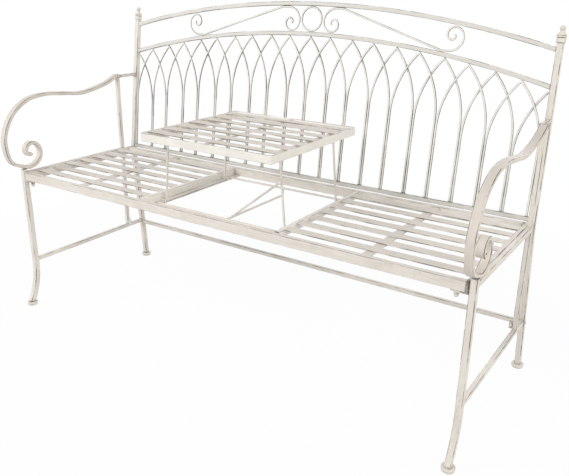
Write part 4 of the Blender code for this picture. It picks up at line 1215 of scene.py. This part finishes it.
class BENCH_OT_stay(Operator):
    """Bends the stay: an eye on its pin, a straight run and an open hook under the middle rod"""

    bl_idname = "bench.stay"
    bl_label = "Stay"

    def execute(self, context):
        p = plan()
        t = p.t
        wrap = p.s.rod + t.stay_play + t.stay_half
        hook = Vector((0, p.centre_rod_z)) - Vector((p.eye.x, p.eye.z))
        tangent = math.atan2(-hook.y, -hook.x) - math.acos(wrap / hook.length)
        hook_end = math.radians(-143)
        bend = arc(hook, wrap, tangent, hook_end, 16)
        run = bend[0].normalized()
        hole = t.stay_pin + t.stay_play
        line = [run * (t.stay_eye - 0.0012)] + bend
        shape = new_shape()
        size = 2 * t.stay_half
        ring = arc((0, 0), (t.stay_eye + hole) / 2, 0, math.tau, 28)[:-1]
        bar, eye = bar_section(size, size, 0.0019, 4), bar_section(t.stay_eye - hole, size, 0.0011)
        for points, section, closed in ((line, bar, False), (ring, eye, True)):
            sweep(shape, [(p.eye.x + u, p.stay_y, p.eye.z + v) for u, v in points], section, BACK, closed)
        add_piece(shape, "stay", "hook", "table_rod_paint", "stay", ROUND)
        return {"FINISHED"}


class BENCH_OT_tie_frame(Operator):
    """Lays the tie rods across the gap, with the middle rod hung below them"""

    bl_idname = "bench.tie_frame"
    bl_label = "Tie rods"

    def execute(self, context):
        p = plan()
        rod, bend, low, short, bevel = p.s.rod, 0.010, p.centre_rod_z, 0.015, 0.001
        corner = arc((p.tie_y - bend, low + bend), bend, -math.pi / 2, 0, 10)
        rear = corner + [Vector((p.tie_y, p.pivot.z))]
        line = [Vector((-q.x, q.y)) for q in rear[::-1]] + rear
        shape = new_shape()
        sweep(shape, [(0, p.mid_y + u, z) for u, z in line], rod_section(rod), RIGHT)
        end = p.gap_half - short
        for sign in (-1, 1):
            y = p.mid_y + sign * p.tie_y
            path = [(x, y, p.pivot.z) for x in (-end, -end + bevel, end - bevel, end)]
            sweep(shape, path, rod_section(rod), BACK, grow=BEVELLED)
        add_piece(shape, "gap_tie_frame", "rods", "table_rod_paint", sharp=ROUND)
        return {"FINISHED"}


class BENCH_OT_fasteners(Operator):
    """Adds the bolts at the uprights, under the arms' links and on the rear legs"""

    bl_idname = "bench.fasteners"
    bl_label = "Small bolts"

    def execute(self, context):
        p = plan()
        wide, below_arm, above_stretcher = 0.8 * p.s.bolt, 0.016, 0.011
        leg_z = centre("rear_stretcher").z
        link_x = post_inner(p, p.arm_z) + (p.s.tube - p.s.arm_link / 2)
        link_end = post_y(p, p.arm_z) - p.s.tube / 2
        for side, sign in SIDES:
            shape = new_shape()
            inwards = Vector((-sign, 0, 0))
            inner = sign * (p.side_x - p.s.bar / 2)
            bolt_head(shape, Vector((inner, p.upright_y, p.arm_z - below_arm)), inwards, wide)
            tab = Vector((inner, p.upright_y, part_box(f"side_stretcher_{side}")[1].z + above_stretcher))
            ends = [tab - 0.002 * inwards, tab + 0.010 * inwards]
            sweep(shape, ends, bar_section(0.0036, 0.022, 0.0012), UP, tips=(0.4, 0))
            for turn in (-1, 1):
                bolt_head(shape, tab + 0.005 * inwards + 0.0016 * turn * BACK, turn * BACK, wide, 0)
            under = p.arm_z - p.s.arm_thick / 2 + 0.0005
            bolt_head(shape, Vector((sign * link_x, link_end - 0.007, under)), -UP, 0.8 * wide)
            outer = sign * (post_inner(p, leg_z) + p.s.seat_gap + p.s.tube)
            bolt_head(shape, Vector((outer, rear_leg_y(p, leg_z), leg_z)), -inwards, 0.8 * wide)
            add_piece(shape, f"side_bolts_{side}", None, "rim_paint")
        return {"FINISHED"}


# Studio


class BENCH_OT_studio(Operator):
    """Sets the floor, the background, the lamps and the camera"""

    bl_idname = "bench.studio"
    bl_label = "Studio"

    def execute(self, context):
        look = context.scene.bench_studio
        context.scene.view_settings.view_transform = "Standard"
        self.floor()
        self.background(context.scene, look.ambient)
        for name, place, size, tint in LAMPS:
            self.lamp(f"{name}_lamp", Vector(place), size, getattr(look, name), tint)
        self.camera(context.scene, look)
        return {"FINISHED"}

    def floor(self):
        shape = bmesh.new()
        bmesh.ops.create_circle(shape, cap_ends=True, segments=96, radius=FLOOR_RADIUS)
        mesh = bpy.data.meshes.new("studio_floor")
        shape.to_mesh(mesh)
        shape.free()
        floor = bpy.data.objects.new("studio_floor", mesh)
        bpy.context.scene.collection.objects.link(floor)
        material = bpy.data.materials.new("pale_floor")
        material.use_nodes = True
        tree = material.node_tree
        tree.nodes.clear()
        place = node(tree, "ShaderNodeTexCoord").outputs["Object"]
        away = node(tree, "ShaderNodeVectorMath", {0: place}, operation="LENGTH").outputs["Value"]
        shade = node(tree, "ShaderNodeBsdfDiffuse", {"Color": (0.8, 0.8, 0.8, 1)})
        glow = node(tree, "ShaderNodeEmission", {"Color": (1, 1, 1, 1), "Strength": 1})
        white = math_node(tree, "SUBTRACT", 1.0, times(tree, spread(tree, away, SHADOW_FAR, SHADOW_NEAR), SHADOW))
        self.mix(tree, times(tree, self.seen(tree), white), shade, glow, "ShaderNodeOutputMaterial")
        mesh.materials.append(material)

    def background(self, scene, ambient):
        world = bpy.data.worlds.new("studio_world")
        scene.world = world
        world.use_nodes = True
        tree = world.node_tree
        tree.nodes.clear()
        soft = node(tree, "ShaderNodeBackground", {"Color": (1, 1, 1, 1), "Strength": ambient})
        white = node(tree, "ShaderNodeBackground", {"Color": (1, 1, 1, 1), "Strength": 1})
        self.mix(tree, self.seen(tree), soft, white, "ShaderNodeOutputWorld")

    def seen(self, tree):
        """1 for the rays that show a surface itself, and 0 for those that only carry its light."""
        rays = node(tree, "ShaderNodeLightPath").outputs
        shown = plus(tree, rays["Is Camera Ray"], rays["Is Glossy Ray"])
        return plus(tree, shown, rays["Is Transmission Ray"], True)

    def mix(self, tree, mask, first, second, sink):
        """Mixes two shaders by a mask, into an output."""
        blend = node(tree, "ShaderNodeMixShader", {0: mask, 1: first.outputs[0], 2: second.outputs[0]})
        node(tree, sink, {"Surface": blend.outputs[0]})

    def lamp(self, name, place, size, watts, tint):
        data = bpy.data.lights.new(name, "AREA")
        data.shape, data.size, data.energy, data.color = "DISK", size, watts, tint
        lamp = bpy.data.objects.new(name, data)
        bpy.context.scene.collection.objects.link(lamp)
        lamp.matrix_world = facing(place, place - LAMP_AIM)

    def camera(self, scene, look):
        data = bpy.data.cameras.new("photo_camera")
        data.sensor_fit, data.sensor_width, data.lens = "HORIZONTAL", 36, look.lens
        data.shift_x, data.shift_y = CAMERA_SHIFT
        camera = bpy.data.objects.new("photo_camera", data)
        scene.collection.objects.link(camera)
        turns = ((look.turn, "Z"), (math.pi / 2 - look.dip, "X"), (look.roll, "Z"))
        camera.matrix_world = Matrix.Translation(look.place)
        for turn, axis in turns:
            camera.matrix_world @= Matrix.Rotation(turn, 4, axis)
        scene.camera = camera


PIECES = (
    BENCH_OT_paint, BENCH_OT_posts, BENCH_OT_finials, BENCH_OT_feet, BENCH_OT_back_rails, BENCH_OT_arches,
    BENCH_OT_scrolls, BENCH_OT_arms, BENCH_OT_front_legs, BENCH_OT_side_bars, BENCH_OT_seat_rails,
    BENCH_OT_seat_slats, BENCH_OT_corner_bolts, BENCH_OT_table_top, BENCH_OT_table_legs, BENCH_OT_stay,
    BENCH_OT_tie_frame, BENCH_OT_fasteners, BENCH_OT_studio,
)
SETTINGS = (
    ("bench_frame", FrameSizes), ("bench_table", TableSizes),
    ("bench_paint", PaintLook), ("bench_studio", StudioLook),
)


class BENCH_PT_sidebar(Panel):
    """Lists the bench's pieces and settings"""

    bl_idname = "BENCH_PT_sidebar"
    bl_label = "Garden bench"
    bl_space_type = "VIEW_3D"
    bl_region_type = "UI"
    bl_category = "Bench"

    def draw(self, context):
        for operator in PIECES:
            self.layout.operator(operator.bl_idname)
        for name, group in SETTINGS:
            box = self.layout.box()
            for key in group.__annotations__:
                box.prop(getattr(context.scene, name), key)


def register():
    for name, group in SETTINGS:
        bpy.utils.register_class(group)
        setattr(bpy.types.Scene, name, PointerProperty(type=group))
    for kind in (*PIECES, BENCH_PT_sidebar):
        bpy.utils.register_class(kind)


def unregister():
    for kind in (BENCH_PT_sidebar, *reversed(PIECES)):
        bpy.utils.unregister_class(kind)
    for name, group in reversed(SETTINGS):
        delattr(bpy.types.Scene, name)
        bpy.utils.unregister_class(group)


def main():
    register()
    for operator in PIECES:
        stem, name = operator.bl_idname.split(".")
        getattr(getattr(bpy.ops, stem), name)()


if __name__ == "__main__":
    main()
